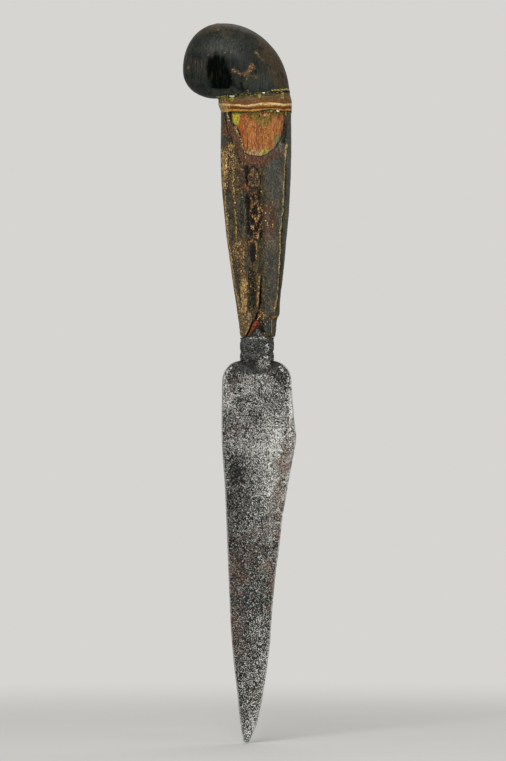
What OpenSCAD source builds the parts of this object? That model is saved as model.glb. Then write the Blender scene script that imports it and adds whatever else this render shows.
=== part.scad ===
// Hunting knife: a forged iron blade with its neck and tang in one piece, a wooden grip core in two
// leaves of horn, a band of stacked spacers between two thin brass liners, and a curled horn pommel.
// The knife stands upright, point down. Z runs along the tang towards the pommel, the beak of the
// pommel points along -X, the cutting edge lies on +X and -Y is the front. The origin is in the
// middle of the grip, on the axis of the tang.

/* [Blade] */
// Length of the blade from the foot of the neck to the point
blade_l = 152.6; // [120:0.2:200]
// Width of the blade from the tang's axis to the spine, just below the shoulder
spine_half = 14; // [11:0.1:18]
// Width of the blade from the tang's axis to the edge, just below the shoulder
edge_half = 13.7; // [11:0.1:16]
// Width of the blade from the tang's axis to the edge at the fullest part of the belly
belly_half = 15.7; // [14:0.1:20]
// Distance from the foot of the neck to the fullest part of the belly
belly_drop = 29.5; // [24:0.5:40]
// Width of the blade from the tang's axis to the edge where sharpening has worn it hollow
hollow_half = 9.7; // [8:0.1:13]
// Distance from the foot of the neck to the hollow
hollow_drop = 65; // [52:0.5:80]
// Distance of the point from the tang's axis, towards the spine
point_off = 4.1; // [1:0.1:7]
// Radius of the blunted point
point_r = 1.5; // [1:0.1:2]
// Thickness of the spine at the foot of the neck
spine_t = 5; // [4:0.1:7]
// Thickness of the edge at the belly
edge_t = 0.6; // [0.4:0.05:1]
// Thickness of the blade at the point
point_t = 1.1; // [0.8:0.05:2]
// Width of the round shoulder beside the neck
shoulder_w = 7.1; // [5:0.1:7.6]
// Drop of the round shoulder
shoulder_h = 8.6; // [6:0.1:11]

/* [Neck and tang] */
// Width of the forged neck
neck_w = 13.7; // [12:0.1:16]
// Thickness of the forged neck
neck_t = 9.6; // [8:0.1:11]
// Height of the forged neck
neck_h = 9.6; // [6:0.1:14]
// Depth of the groove between the neck's two swells
neck_groove = 0.4; // [0.2:0.05:0.8]
// Radius of the neck's upright corners
neck_corner = 3.2; // [1:0.1:3.6]
// Length of the spur that runs from the neck down the cheek of the blade
spur_l = 4.6; // [3:0.1:8]
// Width of the spur at its tip
spur_tip_w = 2.8; // [1.5:0.1:4]
// Width of the tang where it leaves the neck
tang_root_w = 9.8; // [8:0.1:10]
// Thickness of the tang where it leaves the neck
tang_root_t = 6; // [5:0.1:7]
// Height of the tang's gabled root
tang_root_h = 6.4; // [4:0.1:9]
// Width of the tang above its root
tang_w = 7; // [5:0.1:8]
// Thickness of the tang above its root
tang_t = 4.2; // [3:0.1:5]
// Width of the tang at its end
tang_end_w = 4.4; // [3:0.1:5]
// Thickness of the tang at its end
tang_end_t = 3; // [2:0.1:4]
// Length of the tang that stands in the pommel
tang_in_pommel = 13; // [8:0.5:16]

/* [Grip] */
// Length of the grip, from the neck to the spacers
grip_l = 89.6; // [80:0.2:110]
// Width of the grip at the spacers
grip_top_w = 28.4; // [26:0.1:32]
// Thickness of the grip at the spacers
grip_top_t = 21; // [19:0.1:25]
// Lean of the grip's top towards the beak
grip_lean = 0.4; // [0:0.1:1.5]
// Lean of the grip's foot towards the edge of the blade
foot_lean = 0.6; // [0:0.1:0.8]
// Width of the grip at the neck
grip_foot_w = 14.6; // [14:0.1:18]
// Thickness of the grip at the neck
grip_foot_t = 11.4; // [10.6:0.1:14]
// Share of the grip over which it widens, from the neck upwards
widening = 0.85; // [0.7:0.01:1]
// Thickness of the horn leaves
cover_t = 1.3; // [1:0.05:1.6]
// Gap of glue between the horn leaves and the wooden core
glue_gap = 0.05; // [0.02:0.01:0.1]
// Gap between the two horn leaves at the seams
seam_gap = 0.3; // [0.1:0.05:0.6]
// Height of the patch at the top of the grip where the horn has broken away
patch_h = 17.2; // [12:0.1:24]
// Reach of the broken patch on the beak's side of the tang's axis
patch_left = 10.4; // [6:0.1:11]
// Reach of the broken patch on the edge's side of the tang's axis
patch_right = 12; // [7:0.1:12.4]
// Height of the notch where the horn leaves part at the neck
notch_h = 7.4; // [5:0.1:10]
// Half width of that notch at the neck
notch_half = 4.7; // [2:0.1:5]
// Length of the split that runs up the front seam from the notch
split_h = 14; // [6:0.5:24]
// Half width of that split at the notch
split_half = 0.6; // [0.3:0.05:1]
// Gap of lac round the tang in the core
lac_gap = 0.8; // [0.5:0.05:1]

/* [Spacers] */
// Width of the spacers
band_w = 28.8; // [27:0.1:30]
// Thickness of the band from front to back
band_t = 21.4; // [20:0.1:25]
// Height of the tan horn spacer
tan_h = 1.5; // [1:0.1:3]
// Height of the brown horn spacer
brown_h = 1; // [0.6:0.1:2]
// Height of the bone spacer
bone_h = 1.4; // [0.8:0.1:3]
// Height of the dark horn spacer in its middle
dark_h = 2.6; // [2.2:0.1:5]
// Slope of the seat under the pommel
seat_slope = 5; // [2:0.1:5]
// Thickness of the two brass liners
liner_t = 0.4; // [0.2:0.05:0.8]
// Clearance round the tang in the spacers
slot_gap = 0.35; // [0.2:0.05:0.6]

/* [Pommel] */
// Height of the pommel
pommel_h = 29.8; // [26:0.1:34]
// Thickness of the pommel from front to back
pommel_t = 24; // [22:0.1:28]
// Reach of the beak from the middle of the seat
beak_reach = 28.3; // [24:0.1:32]
// Height of the beak's furthest point above the seat
beak_level = 11; // [9:0.1:15]
// Distance of the crown from the middle of the seat, towards the beak
crown_off = 13; // [8:0.1:15]
// Distance from the middle of the seat to where the beak leaves it
throat_off = 16; // [15:0.1:20]
// Distance from the middle of the seat to the pommel's foot on the side away from the beak
heel_off = 13.6; // [12.5:0.1:14.4]
// Distance of the worn dish from the middle of the seat, towards the beak
dish_off = 12.9; // [9:0.1:16]
// Height of the middle of the dish above the seat
dish_level = 11.2; // [9:0.1:15]
// Radius of the shallow dish worn into the front of the pommel
dish_r = 6.4; // [4:0.1:8]
// Depth of that dish
dish_depth = 1.2; // [0.5:0.1:2]
// Gap of lac round and above the tang in the pommel
pommel_lac_gap = 0.6; // [0.3:0.05:1]

/* [Hidden] */

iron = [0.42, 0.42, 0.41];
lac = [0.62, 0.25, 0.13];
wood = [0.62, 0.36, 0.22];
horn = [0.27, 0.22, 0.17];
brass = [0.62, 0.60, 0.30];
tan_horn = [0.74, 0.55, 0.30];
brown_horn = [0.50, 0.28, 0.15];
bone = [0.86, 0.78, 0.58];
dark_horn = [0.28, 0.21, 0.17];
black_horn = [0.17, 0.17, 0.15];

// Roundness of every oval section: 2 is an ellipse, more is squarer
squareness = 2.35;
// How the grip swells, and how the pommel's back rounds over
swelling = 1.15;
back_rounding = 2.1;
// How full the two sides of the broken patch are: 1 is a straight slope, more is squarer
patch_fullness_left = 1.7;
patch_fullness_right = 2.3;
// Where the spine and the edge bend: the share of the blade's length, and of the way to the point
spine_bends = [[0.22, 0], [0.57, 0.28], [0.76, 0.45], [0.93, 0.68]];
edge_bends = [[0.66, 0.26], [0.91, 0.65]];
// Share of the blade's length by which the edge sags between the belly and the hollow
edge_sag = 0.01;
// The largest corner radius of the neck, as a share of its thickness
corner_limit = 0.45;
// Share of the blade's thickness that the spur still has at its tip
spur_tip_share = 0.6;
// Share of the pommel's height at which its crown ends in a small flat
crown_share = 0.995;
// Share of the neck's height that the tang reaches down into it
tang_sink = 0.25;
// Height of the thin slices that a hull runs between
slice = 0.4;
oval_sides = 48;
corner_sides = 32;
grip_rings = 16;
pommel_rings = 9;
curve_steps = 6;
// Step of the arcs of the point and of the broken patch, in degrees
arc_step = 15;

grip_foot = -grip_l / 2;
grip_top = grip_l / 2;
neck_foot = grip_foot - neck_h;
point_z = neck_foot - blade_l;
core_foot = grip_foot + notch_h;

// A length that reaches right through the knife, and a little way past a face
reach = grip_l + blade_l;
past = 1;

tan_z = grip_top + liner_t;
brown_z = tan_z + tan_h;
bone_z = brown_z + brown_h;
dark_z = bone_z + bone_h;
seat_z = dark_z + dark_h;
pommel_z = seat_z + liner_t / cos(seat_slope);
tang_end_z = pommel_z + tang_in_pommel;
tang_foot = grip_foot - tang_sink * neck_h;

// The cheek is one plane through the spine at the neck, the edge at the belly and the point
spine_to_belly = spine_half + belly_half;
spine_to_point = spine_half - point_off;
across = (spine_t - edge_t) / 2;
down = (spine_t - point_t) / 2;
plane_det = spine_to_belly * blade_l - belly_drop * spine_to_point;
fall_x = (across * blade_l - down * belly_drop) / plane_det;
fall_z = (down * spine_to_belly - across * spine_to_point) / plane_det;
cheek_tilt = asin(fall_z / norm([fall_x, 1, fall_z]));
cheek_turn = atan(fall_x);

// Half the width of the grip's outline, and half its thickness, at a height
function grip_grow(z) = pow(sin(90 * min(1, max(0, z - grip_foot) / (grip_l * widening))), swelling);
function grip_half_w(z) = (grip_foot_w + (grip_top_w - grip_foot_w) * grip_grow(z)) / 2;
function grip_half_t(z) = (grip_foot_t + (grip_top_t - grip_foot_t) * grip_grow(z)) / 2;
// Where the middle of the grip lies at a height, on the X axis
function grip_middle(z) = foot_lean - (foot_lean + grip_lean) * grip_grow(z);

// A sine or cosine raised to a power, with its sign kept
function full(c, fullness) = sign(c) * pow(abs(c), 2 / fullness);

// A squared oval round a point on the X axis
function oval(a, b, middle) = [
    for (i = [0:oval_sides - 1]) let (angle = 360 * i / oval_sides)
        [middle + a * full(cos(angle), squareness), b * full(sin(angle), squareness)]
];

// A smooth line through points
function smooth_between(a, b, c, d, t) =
    0.5 * (2 * b + (c - a) * t + (2 * a - 5 * b + 4 * c - d) * pow(t, 2) + (3 * b - a - 3 * c + d) * pow(t, 3));
function smooth_line(p) = [
    for (i = [0:len(p) - 2], k = [0:curve_steps - 1])
        smooth_between(p[max(i - 1, 0)], p[i], p[i + 1], p[min(i + 2, len(p) - 1)], k / curve_steps),
    p[len(p) - 1]
];

// A closed solid through rings of points, all with the same number of points
module loft(rings) {
    sides = len(rings[0]);
    last = len(rings) - 1;
    polyhedron(
        points = [for (ring = rings) each ring],
        faces = [
            [for (i = [0:sides - 1]) i],
            for (r = [0:last - 1], i = [0:sides - 1]) let (j = (i + 1) % sides)
                each [
                    [r * sides + i, (r + 1) * sides + i, (r + 1) * sides + j],
                    [r * sides + i, (r + 1) * sides + j, r * sides + j]
                ],
            [for (i = [sides - 1:-1:0]) last * sides + i]
        ],
        convexity = 8
    );
}

// A bar with a rectangular section that changes evenly between two heights
module taper(w0, t0, z0, w1, t1, z1) {
    loft([
        for (s = [[w0, t0, z0], [w1, t1, z1]])
            [for (c = [[-1, -1], [1, -1], [1, 1], [-1, 1]]) [c[0] * s[0] / 2, c[1] * s[1] / 2, s[2]]]
    ]);
}

// The tang with a gap all round it
module tang_shape(gap) {
    root_top = grip_foot + tang_root_h;
    taper(
        tang_root_w + 2 * gap, tang_root_t + 2 * gap, tang_foot,
        tang_w + 2 * gap, tang_t + 2 * gap, root_top
    );
    taper(
        tang_w + 2 * gap, tang_t + 2 * gap, root_top,
        tang_end_w + 2 * gap, tang_end_t + 2 * gap, tang_end_z + gap
    );
}

// Everything beyond one cheek of the blade; side is -1 for the front and 1 for the back
module beyond_cheek(side) {
    mirror([0, side < 0 ? 1 : 0, 0])
        translate([-spine_half, spine_t / 2, neck_foot])
            rotate([-cheek_tilt, 0, -cheek_turn])
                translate([-reach, 0, -2 * reach])
                    cube([2 * reach, reach, 3 * reach]);
}

function shoulder_arc(side, half) = [
    for (k = [0:curve_steps]) let (a = 90 * k / curve_steps)
        [side * (half - shoulder_w * (1 - sin(a))), neck_foot - shoulder_h * (1 - cos(a))]
];

module blade_outline() {
    shoulder_z = neck_foot - shoulder_h;
    hollow_to_point = hollow_half + point_off;
    spine = smooth_line(concat(
        [[-spine_half, shoulder_z]],
        [for (bend = spine_bends) [-spine_half + bend[1] * spine_to_point, neck_foot - bend[0] * blade_l]],
        [[-point_off - point_r, point_z + point_r]]
    ));
    edge = smooth_line(concat(
        [
            [edge_half, shoulder_z],
            [belly_half, neck_foot - belly_drop],
            [(hollow_half + belly_half) / 2, neck_foot - (hollow_drop + belly_drop) / 2 - edge_sag * blade_l],
            [hollow_half, neck_foot - hollow_drop]
        ],
        [for (bend = edge_bends) [hollow_half - bend[1] * hollow_to_point, neck_foot - bend[0] * blade_l]],
        [[-point_off + point_r, point_z + point_r]]
    ));
    point_arc = [for (a = [-arc_step:-arc_step:arc_step - 180]) [-point_off + point_r * cos(a), point_z + point_r * (1 + sin(a))]];
    back = concat(shoulder_arc(-1, spine_half), spine);
    polygon(concat(
        shoulder_arc(1, edge_half), edge, point_arc,
        [for (k = [len(back) - 1:-1:0]) back[k]]
    ));
}

module rounded_bar(w, t, z, h) {
    r = min(neck_corner, t * corner_limit);
    translate([0, 0, z])
        linear_extrude(h)
            union() {
                square([w - 2 * r, t], center = true);
                square([w, t - 2 * r], center = true);
                for (sx = [-1, 1], sy = [-1, 1])
                    translate([sx * (w / 2 - r), sy * (t / 2 - r)])
                        circle(r, $fn = corner_sides);
            }
}

module spur() {
    hull() {
        rounded_bar(neck_w, neck_t, neck_foot, slice);
        translate([0, 0, neck_foot - spur_l])
            cube([spur_tip_w, spine_t * spur_tip_share, slice], center = true);
    }
}

module neck() {
    swell_h = (neck_h - neck_groove) / 2;
    rounded_bar(neck_w, neck_t, neck_foot, swell_h);
    rounded_bar(neck_w - 2 * neck_groove, neck_t - 2 * neck_groove, neck_foot + swell_h / 2, swell_h + neck_groove);
    rounded_bar(neck_w, neck_t, neck_foot + swell_h + neck_groove, swell_h);
}

module blade() {
    color(iron) {
        difference() {
            rotate([90, 0, 0])
                linear_extrude(spine_t + 2 * past, center = true)
                    blade_outline();
            beyond_cheek(-1);
            beyond_cheek(1);
        }
        neck();
        spur();
        tang_shape(0);
    }
}

// The grip's outline at a height, drawn in all round by an inset
function grip_ring(z, inset) = [
    for (p = oval(grip_half_w(z) - inset, grip_half_t(z) - inset, grip_middle(z))) [p[0], p[1], z]
];

module grip_body(inset, from_z, to_z) {
    loft([for (k = [0:grip_rings]) grip_ring(from_z + (to_z - from_z) * k / grip_rings, inset)]);
}

module tang_lac() {
    color(lac)
        difference() {
            union() {
                grip_body(cover_t + glue_gap, grip_foot, core_foot);
                intersection() {
                    tang_shape(lac_gap);
                    translate([-reach / 2, -reach / 2, core_foot])
                        cube([reach, reach, grip_top - core_foot]);
                }
            }
            tang_shape(0);
        }
}

module grip_core() {
    color(wood)
        difference() {
            grip_body(cover_t + glue_gap, core_foot, grip_top);
            tang_shape(lac_gap);
        }
}

// One side of the broken patch, from its foot up to the spacers; side is -1 for the beak's side
function patch_side(side, side_reach, fullness) = [
    for (a = [90:-arc_step:0]) [side * side_reach * full(cos(a), fullness), grip_top - patch_h * full(sin(a), fullness)]
];

// The U of the broken patch, which opens at the spacers
function patch_points() =
    let (beak_side = patch_side(-1, patch_left, patch_fullness_left))
    concat(
        patch_side(1, patch_right, patch_fullness_right),
        [[patch_right, grip_top + past], [-patch_left, grip_top + past]],
        [for (k = [len(beak_side) - 1:-1:1]) beak_side[k]]
    );

// The opening between the two leaves at the neck, with the split above it
function notch_points(split) =
    let (foot_half = notch_half + (notch_half - split) * past / notch_h)
    [
        [-foot_half, grip_foot - past], [-split, core_foot], [0, core_foot + split_h],
        [split, core_foot], [foot_half, grip_foot - past]
    ];

// A cut through the horn from the front or from the back, drawn as seen from the front
module cut(points, side) {
    translate([0, side < 0 ? 0 : reach, 0])
        rotate([90, 0, 0])
            linear_extrude(reach)
                polygon(points);
}

// One leaf of horn; side is -1 for the beak's side and 1 for the edge's side
module leaf(side) {
    difference() {
        grip_body(0, grip_foot, grip_top);
        grip_body(cover_t, grip_foot - past, grip_top + past);
        translate([side < 0 ? -seam_gap / 2 : seam_gap / 2 - reach, -reach / 2, -reach / 2])
            cube([reach, reach, reach]);
        cut(patch_points(), -1);
        cut(notch_points(split_half), -1);
        cut(notch_points(seam_gap / 2), 1);
    }
}

module left_horn_leaf() {
    color(horn)
        leaf(-1);
}

module right_horn_leaf() {
    color(horn)
        leaf(1);
}

module slot(z, h) {
    share = (z - grip_foot - tang_root_h) / (tang_end_z - grip_foot - tang_root_h);
    w = tang_w + (tang_end_w - tang_w) * share + 2 * slot_gap;
    t = tang_t + (tang_end_t - tang_t) * share + 2 * slot_gap;
    translate([-w / 2, -t / 2, z - past])
        cube([w, t, h + 2 * past]);
}

module spacer(z, h) {
    difference() {
        translate([0, 0, z])
            linear_extrude(h)
                polygon(oval(band_w / 2, band_t / 2, -grip_lean));
        slot(z, h);
    }
}

module lower_liner() {
    color(brass)
        spacer(grip_top, liner_t);
}

module tan_spacer() {
    color(tan_horn)
        spacer(tan_z, tan_h);
}

module brown_spacer() {
    color(brown_horn)
        spacer(brown_z, brown_h);
}

module bone_spacer() {
    color(bone)
        spacer(bone_z, bone_h);
}

// Everything above the sloping seat, raised by a distance
module above_seat(raise) {
    translate([-grip_lean, 0, seat_z])
        rotate([0, -seat_slope, 0])
            translate([-reach / 2, -reach / 2, raise])
                cube([reach, reach, reach]);
}

// The wedge under the seat is cut from a block twice as tall as its middle
module dark_spacer() {
    color(dark_horn)
        difference() {
            spacer(dark_z, 2 * dark_h);
            above_seat(0);
        }
}

// The sloping liner is cut from a block that is tall enough to hold it
module upper_liner() {
    color(brass)
        difference() {
            intersection() {
                spacer(dark_z, 3 * dark_h);
                above_seat(0);
            }
            above_seat(liner_t);
        }
}

// The pommel's outline above its seat, left and right of the middle of the seat
function pommel_left(v) =
    v < beak_level
    ? -throat_off - (beak_reach - throat_off) * sqrt(1 - pow(1 - v / beak_level, 2))
    : -crown_off - (beak_reach - crown_off) * sqrt(1 - pow((v - beak_level) / (pommel_h - beak_level), 2));
function pommel_right(v) =
    -crown_off + (heel_off + crown_off) * sqrt(1 - pow(v / pommel_h, back_rounding));
function pommel_half_t(v) =
    v < beak_level
    ? pommel_t / 2 - (pommel_t - band_t) / 2 * pow(1 - v / beak_level, 2)
    : pommel_t / 2 * sqrt(1 - pow((v - beak_level) / (pommel_h - beak_level), 2));

function pommel_ring(v, left) =
    let (right = pommel_right(v), middle = (left + right) / 2)
    [for (p = oval((right - left) / 2, pommel_half_t(v), middle)) [p[0], p[1], v]];

module on_seat() {
    translate([-grip_lean, 0, seat_z])
        rotate([0, -seat_slope, 0])
            translate([0, 0, liner_t])
                children();
}

module pommel_body() {
    loft(concat(
        [pommel_ring(0, -band_w / 2)],
        [for (k = [1:pommel_rings]) let (v = beak_level * pow(k / pommel_rings, 2)) pommel_ring(v, pommel_left(v))],
        [
            for (k = [1:pommel_rings])
                let (v = beak_level + (pommel_h - beak_level) * crown_share * sin(90 * k / pommel_rings))
                    pommel_ring(v, pommel_left(v))
        ]
    ));
}

// A ball that leaves a dish of the wanted radius and depth in the front of the pommel
module dish() {
    ball_r = (pow(dish_r, 2) + pow(dish_depth, 2)) / (2 * dish_depth);
    translate([-dish_off, dish_depth - pommel_t / 2 - ball_r, dish_level])
        sphere(ball_r);
}

module pommel() {
    color(black_horn)
        difference() {
            on_seat()
                pommel_body();
            tang_shape(pommel_lac_gap);
            on_seat()
                dish();
        }
}

module pommel_lac() {
    color(lac)
        difference() {
            intersection() {
                tang_shape(pommel_lac_gap);
                above_seat(liner_t);
            }
            tang_shape(0);
        }
}

blade();
tang_lac();
grip_core();
left_horn_leaf();
right_horn_leaf();
lower_liner();
tan_spacer();
brown_spacer();
bone_spacer();
dark_spacer();
upper_liner();
pommel_lac();
pommel();
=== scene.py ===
import math
from functools import partial

import bpy
import numpy as np
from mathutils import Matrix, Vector, noise


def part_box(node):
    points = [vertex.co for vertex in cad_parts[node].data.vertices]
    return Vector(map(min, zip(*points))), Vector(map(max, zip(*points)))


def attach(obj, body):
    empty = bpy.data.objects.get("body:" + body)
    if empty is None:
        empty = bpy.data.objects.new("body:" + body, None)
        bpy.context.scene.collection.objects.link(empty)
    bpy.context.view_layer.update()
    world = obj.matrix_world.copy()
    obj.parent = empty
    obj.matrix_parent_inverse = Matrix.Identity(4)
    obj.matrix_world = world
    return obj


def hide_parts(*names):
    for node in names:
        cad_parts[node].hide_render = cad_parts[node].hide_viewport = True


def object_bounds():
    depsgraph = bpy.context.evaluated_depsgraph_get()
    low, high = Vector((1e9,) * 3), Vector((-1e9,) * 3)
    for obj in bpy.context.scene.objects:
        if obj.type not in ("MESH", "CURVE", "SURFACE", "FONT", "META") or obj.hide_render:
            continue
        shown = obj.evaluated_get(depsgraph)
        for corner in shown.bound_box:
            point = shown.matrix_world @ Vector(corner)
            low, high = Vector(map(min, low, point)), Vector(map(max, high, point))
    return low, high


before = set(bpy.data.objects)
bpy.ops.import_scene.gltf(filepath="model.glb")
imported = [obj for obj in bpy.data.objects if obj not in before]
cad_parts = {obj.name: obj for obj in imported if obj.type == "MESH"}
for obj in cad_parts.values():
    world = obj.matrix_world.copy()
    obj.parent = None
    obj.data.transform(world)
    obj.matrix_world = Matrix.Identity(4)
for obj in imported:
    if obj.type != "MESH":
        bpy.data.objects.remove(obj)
cad_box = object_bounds()

# Blade, neck and tang: one forging of iron, hammered to a wedge and ground to an edge on +X.
# Rust has pitted both cheeks. The neck has two slight swells, and ends in a spur on each cheek.
# The script works in millimetres, and a mesh turns them into metres.
MM = 0.001
box_low, box_high = (np.array(corner) / MM for corner in cad_box)


def box_mm(node):
    low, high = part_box(node)
    return np.array(low) / MM, np.array(high) / MM


def through(points):
    """A smooth curve through (z, x) points as a function of z."""
    p = np.array(sorted(points), float)
    slope = np.gradient(p[:, 1], p[:, 0])

    def at(z):
        z = np.asarray(z, float)
        i = np.clip(np.searchsorted(p[:, 0], z) - 1, 0, len(p) - 2)
        gap = p[i + 1, 0] - p[i, 0]
        t = np.clip((z - p[i, 0]) / gap, 0, 1)
        rise = t * t * (3 - 2 * t)
        ease_in = t * (1 - t) ** 2 * gap * slope[i]
        ease_out = t * t * (1 - t) * gap * slope[i + 1]
        return p[i, 1] + (p[i + 1, 1] - p[i, 1]) * rise + ease_in - ease_out

    return at


def smooth_step(low, high, value):
    t = np.clip((value - low) / (high - low), 0, 1)
    return t * t * (3 - 2 * t)


def hump(value, at, width):
    return np.exp(-(((value - at) / width) ** 2))


def oval(share, n=2):
    """How full an oval is at a share of its half width from the middle."""
    return (1 - np.clip(np.abs(share), 0, 1) ** n) ** (1 / n)


def rounded(distance, radius, n=2):
    """0 at an edge and 1 a radius away from it, along a round curve."""
    return oval(np.clip(1 - distance / radius, 0, 1), n)


def most(*masks):
    return np.maximum.reduce(masks)


def cloud(points, size, octaves, seed):
    """Smooth random heights, about -1 to 1. size is the width of the lumps, or one along each axis."""
    p = points.reshape(-1, 3) / np.array(size, float) + 31.7 * seed
    heights = [noise.fractal(Vector(q), 0.9, 2.1, octaves) for q in p]
    return np.array(heights).reshape(points.shape[:-1])


def outward(rings):
    """The unit normals of a grid of rings, pointing away from the middle of each ring."""
    along = np.gradient(rings, axis=0)
    around = (np.roll(rings, -1, axis=1) - np.roll(rings, 1, axis=1)) / 2
    normal = np.cross(around, along)
    normal /= np.maximum(np.linalg.norm(normal, axis=-1, keepdims=True), 1e-9)
    away_from_middle = rings - rings.mean(axis=1, keepdims=True)
    return normal * (1 if (normal * away_from_middle).sum() > 0 else -1)


def raised(rings, height):
    return rings + outward(rings) * height[..., None]


def away(x, z, line):
    """How far places on the front lie from a line through (x, z) points."""
    best = np.full(x.shape, 99.0)
    for (x0, z0), (x1, z1) in zip(line[:-1], line[1:]):
        run, rise = x1 - x0, z1 - z0
        along = np.clip(((x - x0) * run + (z - z0) * rise) / (run * run + rise * rise), 0, 1)
        best = np.minimum(best, np.hypot(x - x0 - along * run, z - z0 - along * rise))
    return best


def track(x, z, width, *line):
    return hump(away(x, z, line), 0, width)


def spot(x, z, at, size, soft=0.35):
    return smooth_step(1 + soft, 1 - soft, np.hypot((x - at[0]) / size[0], (z - at[1]) / size[1]))


def spots(x, z, soft, table):
    return [amount * spot(x, z, at, size, soft) for amount, at, size in table]


def skin(name, rings, fields=None, sharp=None):
    """A closed mesh over rings of points. fields are values at the points that the material reads by name."""
    rows, columns, _ = rings.shape
    points = np.concatenate([rings.reshape(-1, 3), [rings[0].mean(0), rings[-1].mean(0)]])
    points = np.clip(points, box_low, box_high)
    low_end, high_end = rows * columns, rows * columns + 1
    last = (rows - 1) * columns
    beside = [(c, (c + 1) % columns) for c in range(columns)]
    faces = [
        (r * columns + c, r * columns + d, (r + 1) * columns + d, (r + 1) * columns + c)
        for r in range(rows - 1) for c, d in beside
    ]
    for c, d in beside:
        faces += [(low_end, d, c), (high_end, last + c, last + d)]
    mesh = bpy.data.meshes.new(name)
    mesh.from_pydata((points * MM).tolist(), [], faces)
    for field, values in (fields or {}).items():
        at_points = np.concatenate([values.reshape(-1), [values[0].mean(), values[-1].mean()]])
        attribute = mesh.attributes.new(field, "FLOAT", "POINT")
        attribute.data.foreach_set("value", at_points.astype(np.float32))
    mesh.polygons.foreach_set("use_smooth", [True] * len(faces))
    mesh.validate()
    mesh.update()
    if sharp:
        mesh.set_sharp_from_angle(angle=math.radians(sharp))
    return placed(bpy.data.objects.new(name, mesh))


def placed(thing):
    bpy.context.scene.collection.objects.link(thing)
    return thing


def fit(piece, node, finish):
    """The piece takes the place of a CAD node and gets its finish."""
    piece.data.materials.append(finish.material)
    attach(piece, "root")
    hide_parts(node)


def linear(*rgb):
    """A colour as seen on a screen, 0 to 255, as a shader wants it."""
    return tuple(((v / 255 + 0.055) / 1.055) ** 2.4 if v > 10 else v / 255 / 12.92 for v in rgb) + (1,)


class Wire:
    """A socket of some nodes. Sums and products of wires add the Math nodes they need."""

    def __init__(self, nodes, socket):
        self.nodes = nodes
        self.socket = socket

    def math(self, operation, *values):
        return self.nodes.node("Math", {"operation": operation}, dict(enumerate(values)))

    def __add__(self, other):
        return self.math("ADD", self, other)

    def __radd__(self, other):
        return self.math("ADD", other, self)

    def __sub__(self, other):
        return self.math("SUBTRACT", self, other)

    def __rsub__(self, other):
        return self.math("SUBTRACT", other, self)

    def __mul__(self, other):
        return self.math("MULTIPLY", self, other)

    def __rmul__(self, other):
        return self.math("MULTIPLY", other, self)

    def __pow__(self, power):
        return self.math("POWER", self, power)

    def __abs__(self):
        return self.math("ABSOLUTE", self)

    def most(self, other):
        return self.math("MAXIMUM", self, other)

    def step(self, low, high):
        """0 below low, 1 above high and smooth between. low may be the larger of the two."""
        settings = {"interpolation_type": "SMOOTHSTEP", "clamp": True}
        return self.nodes.node("MapRange", settings, {"Value": self, "From Min": low, "From Max": high})


class Nodes:
    """Shader nodes. A colour of three numbers is one as seen on a screen, 0 to 255."""

    def __init__(self, tree):
        self.tree = tree

    def plug(self, socket, value):
        if isinstance(value, Wire):
            self.tree.links.new(value.socket, socket)
        else:
            is_screen_colour = socket.type == "RGBA" and len(value) == 3
            socket.default_value = linear(*value) if is_screen_colour else value

    def node(self, kind, settings, sockets, out=0):
        made = self.tree.nodes.new("ShaderNode" + kind)
        stops = settings.pop("stops", ())
        for key, value in settings.items():
            setattr(made, key, value)
        for _ in stops[2:]:
            made.color_ramp.elements.new(0.5)
        for number, (position, colour) in enumerate(stops):
            made.color_ramp.elements[number].position = position
            made.color_ramp.elements[number].color = linear(*colour)
        for key, value in sockets.items():
            self.plug(made.inputs[key], value)
        return Wire(self, made.outputs[out])

    def painted(self, base, *layers):
        """A colour under layers, each a colour and the mask that is 1 where it shows.

        The colour sockets of a Mix node share their names with its others, so they go by number.
        """
        below, above, mixed = 6, 7, 2
        for over, mask in layers:
            base = self.node("Mix", {"data_type": "RGBA"}, {"Factor": mask, below: base, above: over}, mixed)
        return base


class Finish(Nodes):
    """A procedural material: where things are in millimetres, grains, masks and layers of colour."""

    def __init__(self, name):
        self.material = bpy.data.materials.new(name)
        self.material.use_nodes = True
        super().__init__(self.material.node_tree)
        self.shader = self.tree.nodes["Principled BSDF"]
        where = self.node("TexCoord", {}, {}, "Object")
        self.place = self.node("VectorMath", {"operation": "SCALE"}, {0: where, "Scale": 1 / MM})
        self.x, self.y, self.z = (self.node("SeparateXYZ", {}, {0: self.place}, axis) for axis in "XYZ")

    def __getitem__(self, field):
        return self.node("Attribute", {"attribute_name": field}, {}, "Fac")

    def broken(self, field, breaks, amount, low, high):
        """A field of the mesh as a mask, its edge broken up by a noise."""
        return (self[field] + (breaks - 0.5) * amount).step(low, high)

    def grain(self, width, detail, roughness, stretch=(1, 1, 1), seed=0, warp=0.0):
        """Noise from 0 to 1, about 0.5, with lumps of a width in mm, stretched along each axis."""
        scale = tuple(1 / (width * s) for s in stretch)
        shift = (seed * 7.3, seed * 3.1, 0)
        moved = self.node("Mapping", {}, {"Vector": self.place, "Scale": scale, "Location": shift})
        return self.node("TexNoise", {}, {
            "Vector": moved, "Scale": 1.0, "Detail": detail, "Roughness": roughness, "Distortion": warp,
        })

    def shaded(self, colour, factor):
        """A colour made darker or lighter by a factor."""
        return self.node("VectorMath", {"operation": "SCALE"}, {0: colour, "Scale": factor})

    def set(self, **sockets):
        for key, value in sockets.items():
            self.plug(self.shader.inputs[key.replace("_", " ")], value)

    def relief(self, height, depth):
        """Bumps where height is 0 to 1, depth in mm."""
        bump = {"Height": height, "Distance": depth * MM, "Strength": 1.0}
        self.set(Normal=self.node("Bump", {}, bump, "Normal"))


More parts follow.
